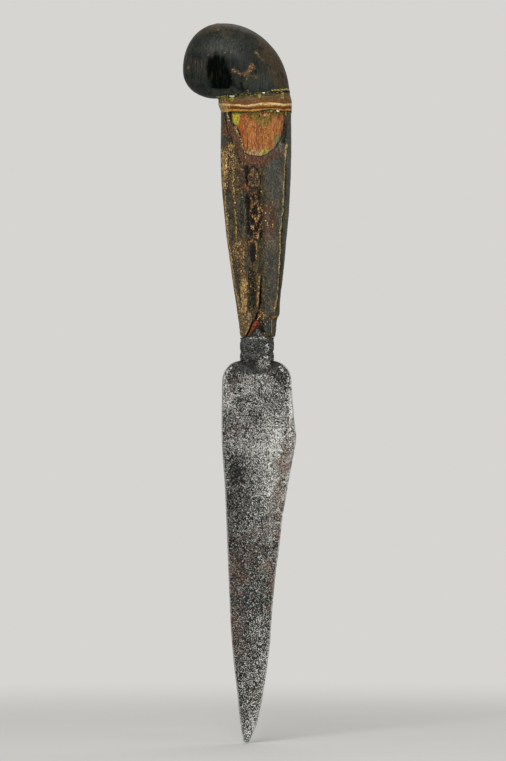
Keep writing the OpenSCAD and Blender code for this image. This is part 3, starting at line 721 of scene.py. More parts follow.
def left_marks(x, z, ragged, pebble):
    """Fields and heights of the leaf on the beak's side, seen from the front.

    Along the seam lie a teardrop scar, the flaked column, a sunk panel and a pebbly strip. A plum streak
    and a lifted flap run down beside the window, the lobe is the leaf's foot, and ochre wear follows
    the outer edge.
    """
    line, area, dab = (partial(brush, x, z) for brush in (track, patch, spot))
    seam = line(0.75, (-4.4, 24), (-4.5, 18), (-3.9, 14), (-4.1, 6), (-3.6, -4))
    scar_z, scar_up, scar_down = 17.2, 5.2, 2.6
    from_scar = np.where(z > scar_z, (z - scar_z) / scar_up, (scar_z - z) / scar_down)
    scar_away = out_of_oval((x + 1.5) / 2.8, from_scar, 1.5)
    scar = smooth_step(1.08, 0.92, scar_away)
    # Painted light on the scar: its sunk rim is darkened as shade, and a pale line down its right side is a
    # painted highlight.
    scar_rim = hump(scar_away, 1.14, 0.12) * (x < 2.4)
    scar_edge = hump(scar_away, 0.9, 0.08) * smooth_step(-2.0, 0.4, x)
    column = smooth_step(-3.6, -2.6, x) * smooth_step(15, 13, z) * smooth_step(-7.5, -5, z)
    terrace = np.floor((ragged + 1) * 3.0 + 0.5 * pebble) / 3.0 - 1
    panel = dab((-1.8, -11.6), (1.5, 4.4), 0.2)
    panel_rim = line(
        0.32, (-3.1, -8), (-2.6, -6.8), (-1.4, -6.5), (-0.4, -8.4), (-0.1, -19), (-0.2, -30), (0.3, -33))
    pebbly = area(-3.6, -0.5, -34.5, -17, 0.5)
    split_lip = line(0.42, (1.0, -21.0), (0.6, -27), (0.1, -33.4))
    lobe = area(-8.0, -2.0, -46, -35.5, 0.6)
    lobe_rim = line(0.24, (-1.9, -37.6), (-2.9, -40.4), (-4.2, -43.0), (-5.0, -44.6))
    plum = most(
        line(1.5, (-11.2, 40.6), (-9.2, 35), (-6.6, 28.6), (-5.0, 24.6)),
        0.9 * dab((-12.6, 37.4), (1.3, 2.4), 0.3))
    plum_edge = line(0.3, (-13.9, 36), (-12.6, 34.9), (-11.6, 36))
    flap_edge = line(0.3, (-9.2, 40.2), (-7.8, 36.2), (-6.2, 32), (-5.2, 29.2), (-4.7, 25))
    flap_under = line(0.45, (-12.3, 38.6), (-10.9, 34.6), (-8.6, 29.4), (-6.6, 24.6))
    top_stripe = line(0.42, (-12.2, 45), (-11.6, 42.4), (-10.9, 40.0))
    top_dark = most(line(0.3, (-13.0, 45), (-12.4, 40.4)), line(0.3, (-11.6, 45), (-11.0, 41.6)))
    top_green = area(-14.6, -12.6, 40.4, 46, 0.4)
    streaks = area(-12.2, -8.6, 20, 33, 0.9)
    edge_line = line(
        0.55, (-13.7, 31), (-13.2, 20), (-12.5, 6), (-11.6, -5), (-10.3, -16), (-8.9, -24), (-6.9, -35))
    tan_line = line(0.42, (-9.4, 24), (-9.5, 16), (-8.9, 8), (-8.6, 2), (-8.2, -5.4))
    tan_line = tan_line + 0.6 * line(0.25, (-10.4, 24), (-10.2, 14))
    scratches = sum(line(0.27, *ends) for ends in (
        ((-8.2, 24.2), (-4.6, 24.0)), ((-8.4, 21.4), (-5.4, 21.8)), ((-8.0, 18.6), (-6.2, 18.4)),
        ((-8.4, 13.8), (-5.2, 13.4)), ((-7.8, 10.2), (-5.2, 10.8)),
    ))
    ochre_upper = area(-10.6, -5.4, -13.4, -6.4, 0.9) * smooth_step(-11.8, -9.8, x + 0.2 * (z + 6))
    ochre_lower = area(-7.3, -3.9, -35.0, -22.0, 0.5) + 0.8 * line(0.9, (-7.6, -12), (-6.2, -21))
    orange_spot = line(0.9, (-4.8, 15.2), (-3.6, 12.8))
    side_dark = most(area(-14.4, -11.9, 32, 34.2, 0.5), line(0.8, (-9.4, -14), (-8.2, -22), (-7.4, -29)))
    seam_open = seam * smooth_step(25, 22, z)
    fields = {
        "ochre": most(
            0.85 * streaks * (1 - 0.5 * plum), area(-14.6, -11.6, 14, 31.5, 0.7), edge_line, tan_line,
            0.8 * scratches, 0.6 * ochre_upper, 0.35 * ochre_lower, 0.5 * lobe, flap_edge, 0.75 * split_lip,
            0.3 * lobe_rim, plum_edge, 0.9 * top_stripe, dab((-11.4, 3.8), (0.5, 0.8)), 0.5 * top_green,
            0.2 * smooth_step(-2.5, -4.5, x) * smooth_step(33, 30, z), 0.42 * area(-8.6, -4.6, 12, 24, 0.6),
            0.5 * area(-10.4, -5.6, -34, -12, 0.8), 0.5 * scar_edge, 0.6 * panel_rim * (z < -8) * (z > -14),
            0.45 * area(-14.4, -10.6, 35, 45, 0.8),
        ),
        "crumbs": most(column, 0.45 * streaks, 0.55 * pebbly, 0.5 * plum_edge),
        "growth": most(
            0.95 * dab((-7.6, -10.2), (2.8, 4.0), 0.5), line(1.5, (-5.4, -23), (-5.3, -34)), 0.9 * lobe,
            0.7 * line(1.3, (-6.2, -13), (-5.6, -18), (-5.4, -22)), scar,
        ),
        # Black marks: dark marks on the flat in places, and painted shade where the horn is sunk: the open
        # seam, the scar's rim, under the lifted flap, the dark lines at the top, the pebbly strip, the low
        # steps of the flaked column and the sunk panel.
        "black": most(
            seam_open * (1 - 0.85 * orange_spot), 0.8 * scar_rim, flap_under * 0.7, top_dark, 0.74 * pebbly,
            0.85 * column * (terrace < -0.1), 0.5 * line(0.8, (-5.2, 27.5), (-4.6, 22)), 0.8 * panel,
            dab((-3.9, 8.8), (1.2, 3.4), 0.4), 0.8 * line(0.5, (-3.3, -18), (-3.5, -30), (-2.8, -35)),
            0.55 * line(1.1, (-6.4, 11), (-6.2, 0)), 0.4 * area(-7.4, -4.8, 13, 23, 0.6),
            0.5 * line(0.7, (-9.2, -14), (-7.6, -24), (-7.6, -31)),
        ),
        "plum": most(
            plum * smooth_step(42, 40, z), 0.5 * area(-8.4, -4.8, 13, 24, 0.6),
            dab((-0.6, 25.4), (4.2, 2.8), 0.4), 0.75 * line(0.6, (-7.0, -14.2), (-6.4, -20.2)),
        ),
        "blue": most(
            side_dark, 0.7 * area(-8.0, -4.6, -4, 12, 0.7), 0.7 * area(-12.6, -9.8, -6, 13, 0.6),
            0.9 * dab((-4.5, -15.8), (1.1, 1.0), 0.4),
        ),
        "green": most(0.9 * top_green, pebbly),
        "orange": most(
            1.2 * orange_spot, 1.1 * panel_rim * (z > -11), 0.8 * line(0.5, (-4.2, 27.8), (-4.6, 31.5)),
            1.2 * line(0.6, (-2.9, -7.0), (-1.5, -6.3), (-0.4, -7.6)),
        ),
        "pale": most(
            0.75 * flap_edge, 0.85 * split_lip, 0.8 * lobe_rim, 0.75 * tan_line, 0.95 * edge_line,
            0.7 * scratches, 0.8 * panel_rim * (z > -14), 0.35 * panel_rim * (z < -14) * (z > -30),
            0.55 * scar_edge, 0.55 * streaks, 0.5 * line(0.3, (-1.6, 24.4), (1.4, 24.2)),
            0.5 * column * (terrace > 0.3), 0.4 * pebbly,
        ),
    }
    grainy = 0.14 * pebble * np.clip(streaks + ochre_lower + lobe + ochre_upper, 0, 1)
    height = column * (0.75 * terrace - 0.05) - 0.7 * seam_open - 0.36 * scar_rim + 0.22 * scar
    height = height - 0.35 * panel + 0.34 * panel_rim + pebbly * (0.25 * pebble - 0.32) + 0.36 * split_lip
    height = height + 0.34 * lobe_rim + 0.16 * flap_edge - 0.35 * flap_under + 0.10 * plum + 0.14 * tan_line
    return fields, height - 0.2 * top_dark + 0.12 * scratches + 0.10 * edge_line + grainy


def right_marks(x, z, ragged, pebble):
    """Fields and heights of the leaf on the edge's side, seen from the front.

    A pale ridge runs down its outer side. Its foot is broken off along a ragged line, with a blue lobe
    and a dark crescent beside the notch.
    """
    line, area, dab = (partial(brush, x, z) for brush in (track, patch, spot))
    ridge_line = (
        (11.7, 32.2), (11.2, 28), (10.9, 22), (10.7, 12), (10.4, 8.6), (9.9, 3.7), (9.3, -3.6), (9.0, -14),
        (8.4, -26), (7.9, -31), (6.9, -34.4),
    )
    ridge = most(line(0.33, *ridge_line), line(0.5, (11.8, 32), (11.4, 27.6)))
    beside_ridge = track(x - 0.75, z, 0.5, *ridge_line)
    column = smooth_step(3.0, 1.9, x) * smooth_step(15, 13, z) * smooth_step(-7.5, -5, z) * 0.8
    broken_z = np.interp(x, [0, 2, 3.6, 5.6, 7.6, 9.4], [-34.0, -35.0, -36.2, -37.0, -36.6, -35.6])
    broken_z = broken_z + 0.35 * ragged
    broken = smooth_step(broken_z + 0.2, broken_z - 0.2, z) * smooth_step(9.8, 8.6, x)
    broken_rim = hump(z, broken_z - 0.2, 0.7) * smooth_step(9.6, 8.8, x) * smooth_step(0.0, 0.6, x)
    blue_lobe = dab((4.4, -41.0), (1.7, 3.4), 0.2)
    off_lobe = broken * (1 - blue_lobe)
    crescent = 1.3 * line(0.6, (0.9, -37.8), (2.4, -38.4), (2.9, -40.0), (2.9, -42.0), (3.4, -43.4))
    flecks = most(*(
        dab(at, (0.28, 0.28), 0.5) for at in ((3.6, -38.8), (4.6, -38.6), (5.2, -40.2), (4.0, -40.6))))
    strip = smooth_step(5.6, 6.4, x) * broken
    strip_line = line(0.25, (6.2, -38), (6.2, -44.6))
    seam_line = line(0.4, (2.5, -9), (2.7, -18), (2.4, -26), (1.8, -31.5)) * 0.9
    crease = line(0.9, (11.9, 41), (11.4, 36), (10.8, 33)) * 0.9
    white = dab((3.8, 7.2), (0.42, 0.42), 0.3)
    fields = {
        "ochre": most(
            broken_rim, 0.72 * off_lobe * (1 - 0.35 * strip), 0.35 * seam_line, 0.4 * ridge,
            0.5 * line(0.9, (12.9, 41.6), (12.9, 39.6)), 0.55 * dab((5.0, 3), (3.4, 8), 0.6),
            0.35 * area(3, 7, -33, -22, 1),
        ),
        "crumbs": most(column, 0.7 * broken_rim, 0.25 * dab((5.5, 3), (3.4, 7), 0.6)),
        # Black marks, painted shade where the horn is sunk: the crease, the groove beside the ridge, the
        # crescent, the low parts of the flaked column and below the broken edge; and a dark line beside the
        # pale strip.
        "black": most(
            crease, 0.8 * column * (ragged < -0.1), 0.7 * beside_ridge, crescent,
            0.6 * hump(z, broken_z - 1.1, 0.3) * broken, 0.7 * line(0.25, (5.9, -37.8), (5.8, -44.4)),
        ),
        "plum": most(
            0.7 * dab((4.8, 2.5), (3.6, 8.5), 0.6), 0.8 * line(1.8, (-3, 26), (2, 24.6), (8, 27.8)),
            0.3 * area(1, 6, 10, 24, 1.2),
        ),
        "blue": most(1.2 * blue_lobe, 0.6 * area(5, 10.4, 8, 24, 1.2), 0.45 * area(3.4, 8, -30, -10, 1.2)),
        "green": most(
            smooth_step(10.4, 11.4, x + 0.062 * (25 - z)),
            0.6 * smooth_step(6.0, 8.6, x) * smooth_step(6, -6, z)),
        "orange": most(seam_line * 0.2, line(0.5, (12.9, 40.8), (12.9, 39.8))),
        "growth": 0.5 * off_lobe * (1 - strip),
        "pale": most(
            ridge, white, 0.6 * broken_rim, strip_line, 0.9 * flecks,
            0.7 * line(0.35, (11.9, 44.2), (11.5, 42.2), (10.9, 40.4)),
            0.5 * line(0.3, (2.2, -39.4), (2.4, -41.2)), 0.6 * line(0.2, (-1.4, 24.5), (1.4, 24.2)),
        ),
    }
    height = 0.30 * ridge - 0.22 * beside_ridge + column * (0.4 * ragged - 0.1) - 0.62 * broken
    height = height + 0.34 * broken_rim + 0.3 * blue_lobe - 0.3 * crescent + 0.15 * pebble * off_lobe
    height = height + 0.12 * strip + 0.15 * strip_line - 0.2 * crease + 0.10 * seam_line + 0.25 * white
    return fields, height + 0.1 * pebble * broken_rim


def leaf_piece(name, side, marks):
    """One leaf: rings that run round the core from the front edge to the back seam and back inside."""
    sill_h = 1.6
    sill = window_foot + sill_h * np.linspace(0, 1, 40) ** window_full
    z = np.concatenate([
        np.linspace(grip_foot, notch_peak, 34)[:-1], np.linspace(notch_peak, window_foot - 0.02, 216)[:-1],
        sill[:-1], np.linspace(sill[-1], grip_top, 52),
    ])
    half_w, half_t, middle = grip_at(z)

    def angle_at(place):
        share = np.clip(side * (place - middle) / half_w, -0.985, 0.985)
        return np.sign(share) * np.arcsin(np.abs(share) ** (squareness / 2))

    back_gap = 0.03
    start, end = angle_at(leaf_edge(z, side)), math.pi - angle_at(side * back_gap)
    columns, dense = 168, np.linspace(0, 1, 500)
    angles = np.empty((len(z), columns))
    for row in range(len(z)):
        dense_angles = start[row] + (end[row] - start[row]) * dense
        step_x = np.diff(half_w[row] * full(np.sin(dense_angles)))
        step_y = np.diff(half_t[row] * full(np.cos(dense_angles)))
        length = np.concatenate([[0], np.cumsum(np.hypot(step_x, step_y))])
        angles[row] = np.interp(np.linspace(0, length[-1], columns), length, dense_angles)
    outer = grip_rings(z[:, None], angles * side)
    inner = grip_rings(z[:, None], angles[:, ::-8] * side, horn_t)
    x, y, h = outer[..., 0], outer[..., 1], outer[..., 2]
    front, behind = smooth_step(1.0, -2.0, y), smooth_step(-1.0, 1.5, y)
    wide = cloud(outer, (5, 5, 12), 3, 33)
    fibre = cloud(outer, (0.55, 0.55, 7), 3, 34)
    pebble = cloud(outer, (0.7, 0.7, 0.85), 3, 35)
    ragged = cloud(outer, (1.5, 1.5, 3.0), 4, 36)
    warp_x = x + 0.35 * cloud(outer, (1.8, 1.8, 3.0), 3, 38)
    warp_z = h + 1.0 * cloud(outer, (1.6, 1.6, 2.6), 3, 39)
    fields, relief = marks(warp_x, warp_z, ragged, pebble)
    window_line, notch_line = (
        [(float(leaf_edge(np.array([q]), side)[0]), float(q)) for q in heights]
        for heights in (np.linspace(window_foot, grip_top, 60), np.linspace(grip_foot, notch_peak, 30)))
    from_window = away(x, h, [(seam_at(window_foot), window_foot)] + window_line)
    from_notch = away(x, h, notch_line)
    bevel = smooth_step(1.1 if side < 0 else 0.9, 0, from_window) * front
    seam_edge = np.exp(-np.abs(x - leaf_edge(z, side)[:, None]) / 0.3) * front
    seam_edge = seam_edge * smooth_step(-12, -24, h) * smooth_step(-37.8, -36.8, h)
    notch_rim = hump(from_notch, 0.65, 0.4) * front * 0.35
    worn = cloud(outer, (2.6, 2.6, 16), 3, 37) + 0.25 * smooth_step(9, 13, np.abs(x))
    worn = behind * smooth_step(0.1, 0.6, worn)
    crack = behind * hump(x - 0.9 * wide, 1.2, 0.28) * smooth_step(-30, 0, h)
    fields = {key: value * front for key, value in fields.items()}
    fields["ochre"] = most(fields["ochre"], 0.8 * worn, bevel * 0.5 * (side < 0))
    # Painted shade in the crack at the back and along the front edge at the seam, where the edge drops.
    fields["black"] = most(fields["black"] * (1 - notch_rim), 0.8 * crack, 0.9 * seam_edge)
    fields["pale"] = most(fields["pale"], notch_rim)
    fields["bevel"] = bevel
    fields["smooth"] = (0.5 + 0.5 * side) * smooth_step(2.5, 4.5, x)
    edge_drop = np.exp(-np.minimum(from_window, from_notch) / 0.3) * front
    height = 0.15 * wide + 0.06 * fibre + 0.07 * pebble + relief * front - 0.35 * crack
    height = height + (0.09 * pebble - 0.12) * worn + 0.22 * notch_rim - 0.85 * bevel
    height = np.clip(height - 0.5 * edge_drop - 0.5 * seam_edge, -0.98, 0.5) - 0.12
    height = height - 0.35 * smooth_step(grip_foot + 0.9, grip_foot, h)
    if side > 0:
        swollen = 0.3 * hump(h, -34.4, 2.2) - 0.5 * smooth_step(-36.2, -37.2, h) * (1 - front)
        height = height + smooth_step(6.4, 8.0, x) * smooth_step(3, 1, y) * swollen
    out = np.stack([x - middle[:, None], y * (half_w / half_t * 0.9)[:, None], 0 * h], axis=-1)
    outer = outer + out / np.linalg.norm(out, axis=-1, keepdims=True) * height[..., None]
    spare = np.zeros(inner.shape[:2])
    fields = {key: np.concatenate([value, spare], axis=1) for key, value in fields.items()}
    return skin(name, np.concatenate([outer, inner], axis=1), fields)


left_leaf = leaf_piece("horn_leaf_left", -1, left_marks)
right_leaf = leaf_piece("horn_leaf_right", 1, right_marks)

horn = Finish("worn_horn")
streak = horn.grain(0.5, 4, 0.65, (1, 1, 16))
scratch = horn.grain(0.28, 3, 0.6, (1, 1, 22), seed=5)
fleck = horn.grain(0.50, 2, 0.5, (1, 1, 1.3), seed=1)
fleck_long = horn.grain(0.46, 2, 0.5, (1, 1, 4.5), seed=6)
speck = horn.grain(0.46, 2, 0.5, (1, 1, 1.3), seed=7)
mottle = horn.grain(2.2, 4, 0.65, (1, 1, 2.2), seed=2)
warm = horn.grain(5.0, 3, 0.55, (1, 1, 2.5), seed=3)
small = horn.grain(1.1, 3, 0.65, (1, 1, 1.6), seed=8)
on_smooth, lobe_z, scar_mask = horn["smooth"], horn.z.step(-34, -37), horn.z.step(14, 15)


def speckled(field, cover, soft=0.06):
    """A field as grains: all of it where the field is 1, fewer grains where it is less, none at 0."""
    shift = 0.26
    grains = fleck * 0.6 + fleck_long * 0.4 + (mottle - 0.5) * 0.25
    return (grains - (1 - horn[field]) * shift).step(cover - soft / 2, cover + soft / 2)


rough_colour = horn.painted(
    (50, 50, 38), ((74, 61, 43), (mottle * 0.5 + small * 0.5).step(0.47, 0.55)),
    ((18, 17, 13), (streak * 0.6 + fleck * 0.4).step(0.53, 0.60) * 0.8),
    ((128, 98, 64), (warm * 0.3 + fleck_long * 0.7).step(0.57, 0.62) * 0.6),
)
smooth_colour = horn.painted(
    (62, 66, 59), ((86, 80, 68), (mottle * 0.6 + warm * 0.4).step(0.46, 0.56)),
    ((30, 29, 24), (streak * 0.5 + small * 0.5).step(0.52, 0.60) * 0.7),
    ((116, 98, 78), (speck * 0.6 + small * 0.4).step(0.55, 0.61) * 0.6),
)
growth_colour = horn.painted(
    (118, 92, 58), ((74, 56, 36), (small * 0.5 + fleck * 0.5).step(0.46, 0.54)),
    ((186, 150, 94), horn.z.step(-19, -24) * small.step(0.40, 0.52) * 0.85),
    ((83, 78, 67), lobe_z * small.step(0.38, 0.52) * 0.9),
    ((52, 39, 26), scar_mask * small.step(0.40, 0.52) * 0.9),
    ((166, 140, 96), speck.step(0.54, 0.60) * (0.85 - scar_mask * 0.6 - lobe_z * 0.3)),
    ((44, 34, 23), fleck_long.step(0.44, 0.40) * 0.75),
)
bits, ochre_mask = speckled("crumbs", 0.49, 0.05), speckled("ochre", 0.48, 0.05)
bit_colour = horn.painted(
    (152, 112, 72), ((104, 70, 44), (fleck_long * 0.5 + small * 0.5).step(0.48, 0.54)),
    ((194, 158, 106), speck.step(0.57, 0.63)),
)
ochre_colour = horn.painted(
    (180, 146, 88), ((136, 102, 54), (mottle * 0.4 + small * 0.6).step(0.46, 0.54)),
    ((220, 192, 140), speck.step(0.55, 0.59) * 0.85), ((58, 42, 27), speck.step(0.44, 0.40) * 0.8),
)
ochre_under = horn.painted((54, 42, 27), ((94, 70, 41), small.step(0.46, 0.56)))
orange_colour = horn.painted((142, 88, 50), ((78, 50, 32), small.step(0.46, 0.53)))
pale_colour = horn.painted((200, 170, 112), ((152, 118, 68), fleck_long.step(0.46, 0.54)))
colour = horn.painted(
    rough_colour,
    (smooth_colour, on_smooth),
    ((62, 65, 52), horn.broken("green", mottle, 1.2, 0.3, 0.9) * 0.85),
    ((40, 40, 32), on_smooth * horn.z.step(-4, -12) * 0.3),
    ((57, 63, 59), (horn["blue"] * 0.8 + (small - 0.5) * 1.6).step(0.15, 0.85) * 0.75),
    ((88, 56, 42), horn.broken("plum", small, 1.8, 0.25, 0.85) * 0.85),
    ((130, 102, 68), scratch.step(0.57, 0.66) * (0.5 - on_smooth * 0.3)),
    (growth_colour, horn.broken("growth", small, 1.2, 0.35, 0.75) * 0.95),
    ((42, 39, 29), horn["crumbs"] * 0.75),
    (bit_colour, bits * 0.9),
    (ochre_under, horn.broken("ochre", small, 1.2, 0.35, 0.85) * 0.85),
    (ochre_colour, ochre_mask * 0.9),
    (orange_colour, speckled("orange", 0.42) * 0.85),
    # Painted shade on the bevel where the leaf drops into the window, fainter near the window's foot.
    ((30, 26, 22), horn.broken("bevel", small, 1.6, 0.3, 0.8) * (horn.z.step(28.4, 32.0) * 0.5 + 0.3)),
    # Black marks, and painted shade where the horn is sunk.
    ((10, 8, 7), horn.broken("black", fleck, 1.4, 0.35, 0.8) * 0.92),
    (pale_colour, speckled("pale", 0.42, 0.08) * 0.92),
)
broad_tone = (mottle + warm - 1.0) * on_smooth * 0.9 + 1.0
speck_tone = 0.57 + on_smooth * 0.16 + speck.step(0.40, 0.60) * (0.98 - on_smooth * 0.32)
horn.set(
    Base_Color=horn.shaded(colour, speck_tone * broad_tone),
    Roughness=0.46 + ochre_mask * 0.22 + horn["crumbs"] * 0.1,
    Specular_IOR_Level=0.12,
)
horn.relief(streak * 0.25 + speck * 0.35 + fleck * 0.3 + bits * 0.3 + ochre_mask * 0.15, 0.26)
fit(left_leaf, "left_horn_leaf", horn)
fit(right_leaf, "right_horn_leaf", horn)

# Spacers: four flat ovals of horn and bone, tan, brown, bone and dark, stacked on the tang and scraped
# flush together. The stack is a little wavy, and the topmost is cut on the slope of the pommel's seat.
band_low, band_high = box_mm("bone_spacer")
band_half = (band_high - band_low) / 2
band_x = (band_high + band_low)[0] / 2
seat_z, seat_slope = 51.7, math.radians(5)
tan_foot = through([(-15, 44.9), (-5, 44.9), (0, 44.95), (2.4, 45.4), (5, 45.85), (8, 45.45), (13.6, 45.3)])
brown_foot = through([
    (-15, 46.5), (-10, 46.3), (-6, 46.0), (-1, 46.05), (4, 46.25), (8, 46.3), (13.6, 46.4),
])
bone_foot = through([
    (-15, 47.1), (-10, 46.9), (-6, 46.65), (-1, 46.7), (4, 46.95), (8, 46.9), (13.6, 47.1),
])
dark_foot = through([
    (-15, 48.6), (-11, 48.3), (-7, 47.8), (-3, 48.0), (1, 48.4), (4, 48.7), (8, 48.5), (13.6, 48.5),
])


def ring_piece(
        name, low, high, depth, seed, rows=11, swell=0.0, lumps=0.06, size=(0.8, 0.8, 0.5), marks=None):
    """One flat oval between two heights, each given by a function of x and y, with softened rims."""
    angles = turns(rows, 260)
    flat = oval_rings(0, angles, band_half[0], band_half[1], band_x)
    level = np.repeat(np.linspace(0, 1, rows)[:, None], angles.shape[1], axis=1)
    x, y = flat[..., 0], flat[..., 1]
    z = low(x, y) + (high(x, y) - low(x, y)) * level
    flat[..., 2] = z
    from_middle = 2 * level - 1
    height = swell * (1 - from_middle ** 2) - depth * from_middle ** 6
    height = height + lumps * cloud(flat, size, 3, seed) - 0.08
    to_front = smooth_step(8, 2, y)
    beak_end = 0.7 * smooth_step(45.5, 48.5, z) - 0.35 * smooth_step(46.5, 45.0, z)
    height = height + beak_end * smooth_step(-10.5, -14.0, x) * to_front
    height = height - 0.8 * smooth_step(10.5, 13.5, x) * to_front * smooth_step(49, 53, z)
    fields = {"level": level}
    if marks:
        fields.update(marks(x, y, z))
        height = height - 0.9 * fields["sunk"]
    sideways = np.stack(
        [full(np.sin(angles)) / band_half[0], -full(np.cos(angles)) / band_half[1], 0 * x], axis=-1)
    sideways /= np.linalg.norm(sideways, axis=-1, keepdims=True)
    return skin(name, flat + sideways * height[..., None], fields, sharp=50)


def joint(line, z):
    """A joint of the stack: as seen on the front, and a gentler wave round z at the back."""

    def at(x, y):
        as_seen = 0.35 + 0.65 * smooth_step(4, -6, y)
        return z + (line(x) - z) * as_seen + 0.08 * np.sin(x * 0.8 + y * 0.5)

    return at


def seat(raised_by):
    """The slope that the pommel sits on, raised by some height."""
    return lambda x, y: seat_z + raised_by + math.tan(seat_slope) * (x - band_x)


def spacer_finish(name, stops, cream, gloss=0.45, drips=()):
    """Horn or bone cut across: bands of colour along the layer, cloudy patches, pores and green drips."""
    cream_end, crack_x = -12.0, -9.9
    made = Finish(name)
    lie = made.grain(0.24, 3, 0.6, (14, 14, 1))
    cloudy = made.grain(1.8, 4, 0.65, (2.4, 2.4, 0.5), seed=1)
    spotty = made.grain(0.55, 3, 0.7, seed=2)
    blotch = made.grain(1.0, 4, 0.7, seed=3)
    speck = made.grain(0.42, 2, 0.5, (1.6, 1.6, 1), seed=5)
    on_front = made.y.step(0, -2)
    level = made["level"] + (cloudy - 0.5) * 1.1 + (lie - 0.5) * 0.7
    mottled = made.painted(
        (206, 174, 110), ((146, 112, 60), spotty.step(0.48, 0.56)), ((84, 58, 28), spotty.step(0.58, 0.64)))
    ragged_end = (made.x + (blotch - 0.5) * 10 + (spotty - 0.5) * 6).step(cream_end + 0.5, cream_end - 0.3)
    crack = 1.0 - abs(made.x - crack_x + (cloudy - 0.5) * 3) * 1.4 + (spotty - 0.5) * 3.2
    drip_colour = made.painted((184, 170, 74), ((94, 82, 36), spotty.step(0.47, 0.56)))
    layers = [
        (mottled, ragged_end * cream),
        ((108, 60, 28), (spotty * 0.5 + cloudy * 0.5).step(0.53, 0.60) * 0.55),
        ((50, 34, 20), (spotty * 0.7 + lie * 0.3).step(0.58, 0.66) * 0.6),
        ((104, 56, 26), crack.step(0.5, 0.9) * on_front * 0.6),
    ]
    for x, wide, foot, strength in drips:
        drip = (made.z - foot).step(-0.9, 0.7) * 1.4 - abs(made.x - x) * (1 / wide)
        drip = drip + (blotch - 0.5) * 2.2 + (spotty - 0.5) * 2.4
        layers.append((drip_colour, drip.step(0.3, 0.7) * on_front * strength))
    tint = made.painted(made.node("ValToRGB", {"stops": stops}, {0: level}, "Color"), *layers)
    tint = made.shaded(tint, 0.58 + speck.step(0.36, 0.64) * 0.52)
    made.set(Base_Color=tint, Roughness=gloss, Specular_IOR_Level=0.12)
    made.relief(lie * 0.5 + spotty * 0.5, 0.10)
    return made


tan_z, brown_z, bone_z, dark_z = (
    box_mm(node)[0][2] for node in ("tan_spacer", "brown_spacer", "bone_spacer", "dark_spacer"))
tan_joint, brown_joint = joint(tan_foot, tan_z), joint(brown_foot, brown_z)
bone_joint, dark_joint = joint(bone_foot, bone_z), joint(dark_foot, dark_z)
tan_piece = ring_piece("spacer_tan", tan_joint, brown_joint, 0.10, 41)
brown_piece = ring_piece("spacer_brown", brown_joint, bone_joint, 0.05, 42)
bone_piece = ring_piece("spacer_bone", bone_joint, dark_joint, 0.06, 43, swell=0.05)
dark_piece = ring_piece("spacer_dark", dark_joint, seat(0), 0.06, 44, rows=14)
fit(tan_piece, "tan_spacer", spacer_finish("tan_horn", (
    (0.0, (100, 58, 24)), (0.22, (174, 122, 52)), (0.45, (202, 162, 86)), (0.65, (182, 126, 52)),
    (0.9, (124, 72, 26)), (1.0, (100, 56, 22)),
), 0.7))
fit(brown_piece, "brown_spacer", spacer_finish("brown_horn", (
    (0.0, (120, 66, 26)), (0.3, (78, 42, 22)), (0.6, (96, 54, 26)), (1.0, (142, 82, 32)),
), 0.75))
fit(bone_piece, "bone_spacer", spacer_finish("bone", (
    (0.0, (132, 78, 30)), (0.2, (170, 122, 60)), (0.42, (214, 184, 120)), (0.62, (238, 218, 162)),
    (0.82, (184, 138, 74)), (1.0, (124, 76, 34)),
), 0.6, 0.42))
fit(dark_piece, "dark_spacer", spacer_finish("dark_horn", (
    (0.0, (134, 84, 38)), (0.12, (100, 66, 37)), (0.26, (140, 94, 52)), (0.4, (94, 67, 43)),
    (0.58, (128, 100, 62)), (0.75, (86, 72, 46)), (0.9, (92, 80, 46)), (1.0, (24, 20, 12)),
), 0.3, 0.5, (
    (-13.4, 1.9, 49.7, 1.0), (-10.1, 1.2, 49.1, 1.0), (-6.4, 1.6, 51.0, 0.6), (-2.0, 2.4, 51.2, 0.6),
    (1.0, 0.7, 50.5, 0.7), (10.2, 0.65, 50.0, 0.95),
)))

# Liners: two thin sheets of brass, one under the spacers and one under the pommel. Both have corroded
# to a yellow-green crust that swells out of the joints, with bright crumbs in places. The gaps are sunk
# and painted dark as shade, and a few white glints are painted highlights.
def upper_marks(x, y, z):
    front = smooth_step(0, -3, y)
    line = smooth_step(5.0, 7.0, x)
    middle = smooth_step(-12.2, -11.4, x) * smooth_step(7.0, 5.4, x)
    ends = smooth_step(-11.6, -12.4, x) + smooth_step(5.4, 7.0, x)
    # Painted highlights: bright glints on the upper crust, laid into the colour.
    light = front * most(
        1.2 * spot(x, z, (-10.0, 51.5), (1.15, 0.75), 0.4), spot(x, z, (2.7, 52.5), (0.5, 0.5), 0.5))
    # Painted shade: the sunk middle and the line under the crust at the right are darkened.
    bare = most(0.8 * middle, line * 1.4) * front
    sunk = 0.45 * middle * (1 - light) - 0.12 * ends + 0.7 * line + 0.8 * smooth_step(10, 13.5, x)
    return {"sunk": sunk * front - 0.7 * light, "bare": bare, "light": light}


def lower_marks(x, y, z):
    front = smooth_step(0, -3, y)
    up = (z - grip_top) / np.maximum(tan_foot(x) - grip_top, 0.1)
    gap = most(smooth_step(0.3, 0.6, up), smooth_step(1.5, 0, x)) * front
    # Painted highlight: a glint on the lower crust.
    light = spot(x, z, (8.6, 45.25), (0.62, 0.38), 0.5) * front
    # Painted shade: the gap under the spacers and most of the lower crust's front are darkened.
    return {"sunk": 0.8 * gap * (1 - light), "bare": most(gap, 0.62 * front) * (1 - light), "light": light}


def lower_low(x, y):
    return grip_top + 0 * x


def upper_low(x, y):
    return seat(-0.25)(x, y) - 0.5 * smooth_step(-10.8, -12.2, x) * smooth_step(0, -3, y)


def upper_high(x, y):
    return seat(0.65)(x, y) + 0.15 * smooth_step(5.0, 7.0, x) * smooth_step(0, -3, y)


